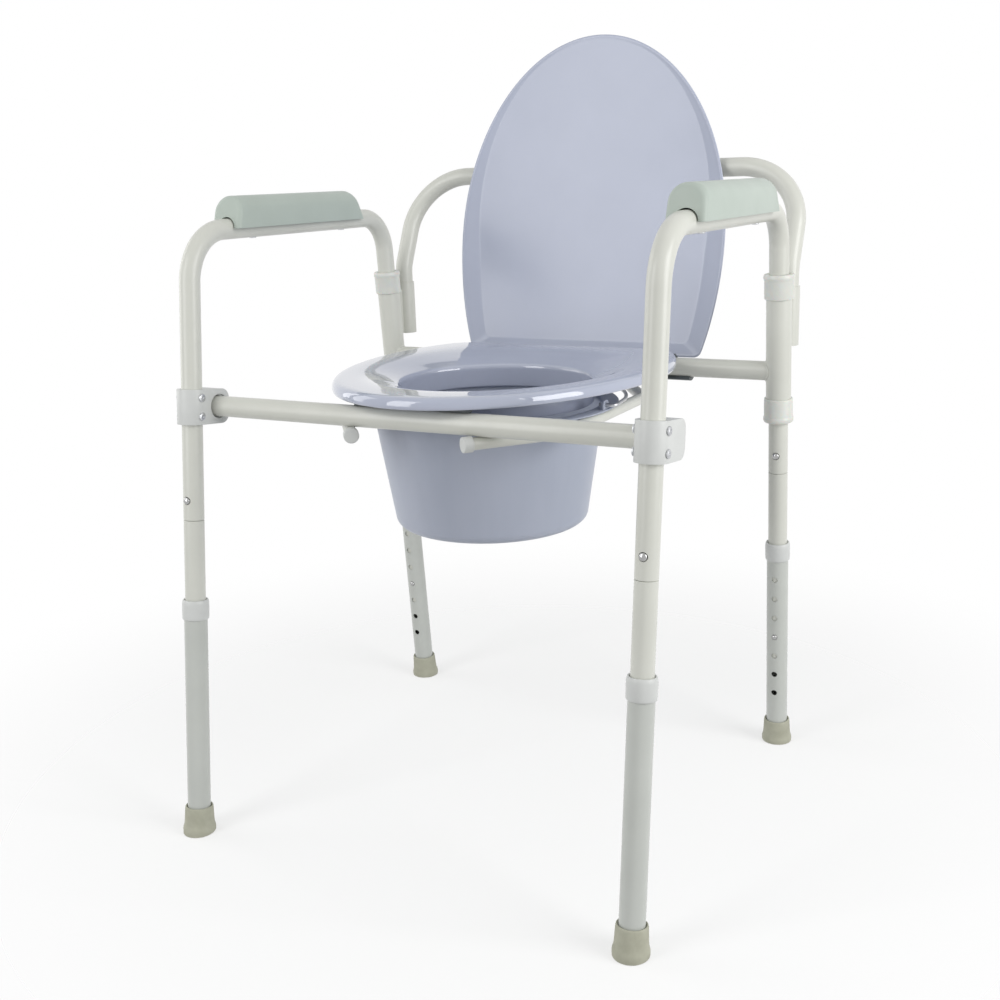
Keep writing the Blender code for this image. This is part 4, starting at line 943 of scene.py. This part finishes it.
# floor: white paper that keeps the shadow near the chair and fades out around it
paperSizes = {"radius": 2.5, "low": -0.0005, "fadeFrom": 0.35, "fadeTo": 1.0, "clear": 0.62, "white": 0.95}
pick()
bpy.ops.mesh.primitive_circle_add(vertices=96, radius=paperSizes["radius"], fill_type="NGON",
                                  location=(0, 0, paperSizes["low"]))
floor = bpy.context.object
floor.name = "floor"
paper = bpy.data.materials.new("whitePaper")
paper.use_nodes = True
tree = paper.node_tree
output = tree.nodes["Material Output"]
tree.nodes.remove(tree.nodes["Principled BSDF"])
where = addNode(tree, "ShaderNodeTexCoord").outputs["Object"]
away = addNode(tree, "ShaderNodeVectorMath", {"operation": "LENGTH"}, {0: where})
fade = addNode(tree, "ShaderNodeMapRange",
               {"interpolation_type": "SMOOTHSTEP", "From Min": paperSizes["fadeFrom"],
                "From Max": paperSizes["fadeTo"], "To Min": paperSizes["clear"]},
               {"Value": away.outputs["Value"]})
matt = addNode(tree, "ShaderNodeBsdfDiffuse", {"Color": (*[paperSizes["white"]] * 3, 1)})
clear = addNode(tree, "ShaderNodeBsdfTransparent")
blend = addNode(tree, "ShaderNodeMixShader", {},
                {0: fade.outputs["Result"], 1: matt.outputs["BSDF"], 2: clear.outputs["BSDF"]})
tree.links.new(blend.outputs["Shader"], output.inputs["Surface"])
floor.data.materials.append(paper)

# world: white where it is seen or mirrored, dimmer as light
studio = {"seen": 1.0, "soft": 0.42}
world = bpy.data.worlds.new("studio")
bpy.context.scene.world = world
world.use_nodes = True
tree = world.node_tree
tree.nodes.clear()
path = addNode(tree, "ShaderNodeLightPath")
mirrored = addNode(tree, "ShaderNodeMath", {"operation": "MAXIMUM"},
                   {0: path.outputs["Is Glossy Ray"], 1: path.outputs["Is Transmission Ray"]})
shown = addNode(tree, "ShaderNodeMath", {"operation": "MAXIMUM"},
                {0: path.outputs["Is Camera Ray"], 1: mirrored.outputs["Value"]})
seen = addNode(tree, "ShaderNodeBackground", {"Color": (1, 1, 1, 1), "Strength": studio["seen"]})
soft = addNode(tree, "ShaderNodeBackground", {"Color": (1, 1, 1, 1), "Strength": studio["soft"]})
either = addNode(tree, "ShaderNodeMixShader", {},
                 {0: shown.outputs["Value"], 1: soft.outputs["Background"], 2: seen.outputs["Background"]})
addNode(tree, "ShaderNodeOutputWorld", {}, {"Surface": either.outputs["Shader"]})

# soft boxes: the first is the one that the lid mirrors
lamps = [
    {"name": "panelLight", "at": (-0.913, -1.76, 1.2), "size": (0.85, 1.9), "power": 18.5,
     "aim": (0, 0.24, 0.65)},
    {"name": "rightLight", "at": (2.0, -0.2, 1.1), "size": (1.2, 1.6), "power": 31, "aim": (0, 0, 0.45)},
    {"name": "leftLight", "at": (-2.0, -0.3, 1.1), "size": (1.2, 1.6), "power": 9, "aim": (0, 0, 0.45)},
    {"name": "topLight", "at": (0.0, 0.3, 2.8), "size": (2.0, 2.0), "power": 2, "aim": (0, 0, 0.45)},
]
for lamp in lamps:
    light = bpy.data.lights.new(lamp["name"], "AREA")
    light.shape = "RECTANGLE"
    light.size, light.size_y = lamp["size"]
    light.energy = lamp["power"]
    holder = bpy.data.objects.new(lamp["name"], light)
    bpy.context.scene.collection.objects.link(holder)
    holder.location = lamp["at"]
    holder.rotation_euler = (Vector(lamp["aim"]) - Vector(lamp["at"])).to_track_quat("-Z", "Y").to_euler()

# camera; its angles are in radians
view = {"at": (0.6388, -1.1781, 0.7042), "yaw": 0.501, "pitch": 0.261, "roll": -0.035,
        "lens": 43.43, "sensor": 36}
yaw, pitch, roll = view["yaw"], view["pitch"], view["roll"]
ahead = Vector((-math.sin(yaw) * math.cos(pitch), math.cos(yaw) * math.cos(pitch), -math.sin(pitch)))
across = Vector((math.cos(yaw), math.sin(yaw), 0))
upward = across.cross(ahead)
rolledAcross = across * math.cos(roll) + upward * math.sin(roll)
rolledUpward = upward * math.cos(roll) - across * math.sin(roll)
turn = Matrix((rolledAcross, rolledUpward, -ahead)).transposed().to_4x4()
lens = bpy.data.cameras.new("camera")
lens.lens = view["lens"]
lens.sensor_width = view["sensor"]
lens.sensor_fit = "AUTO"
camera = bpy.data.objects.new("camera", lens)
bpy.context.scene.collection.objects.link(camera)
camera.matrix_world = Matrix.Translation(view["at"]) @ turn
bpy.context.scene.camera = camera
bpy.context.scene.view_settings.view_transform = "Standard"
print("stage set")
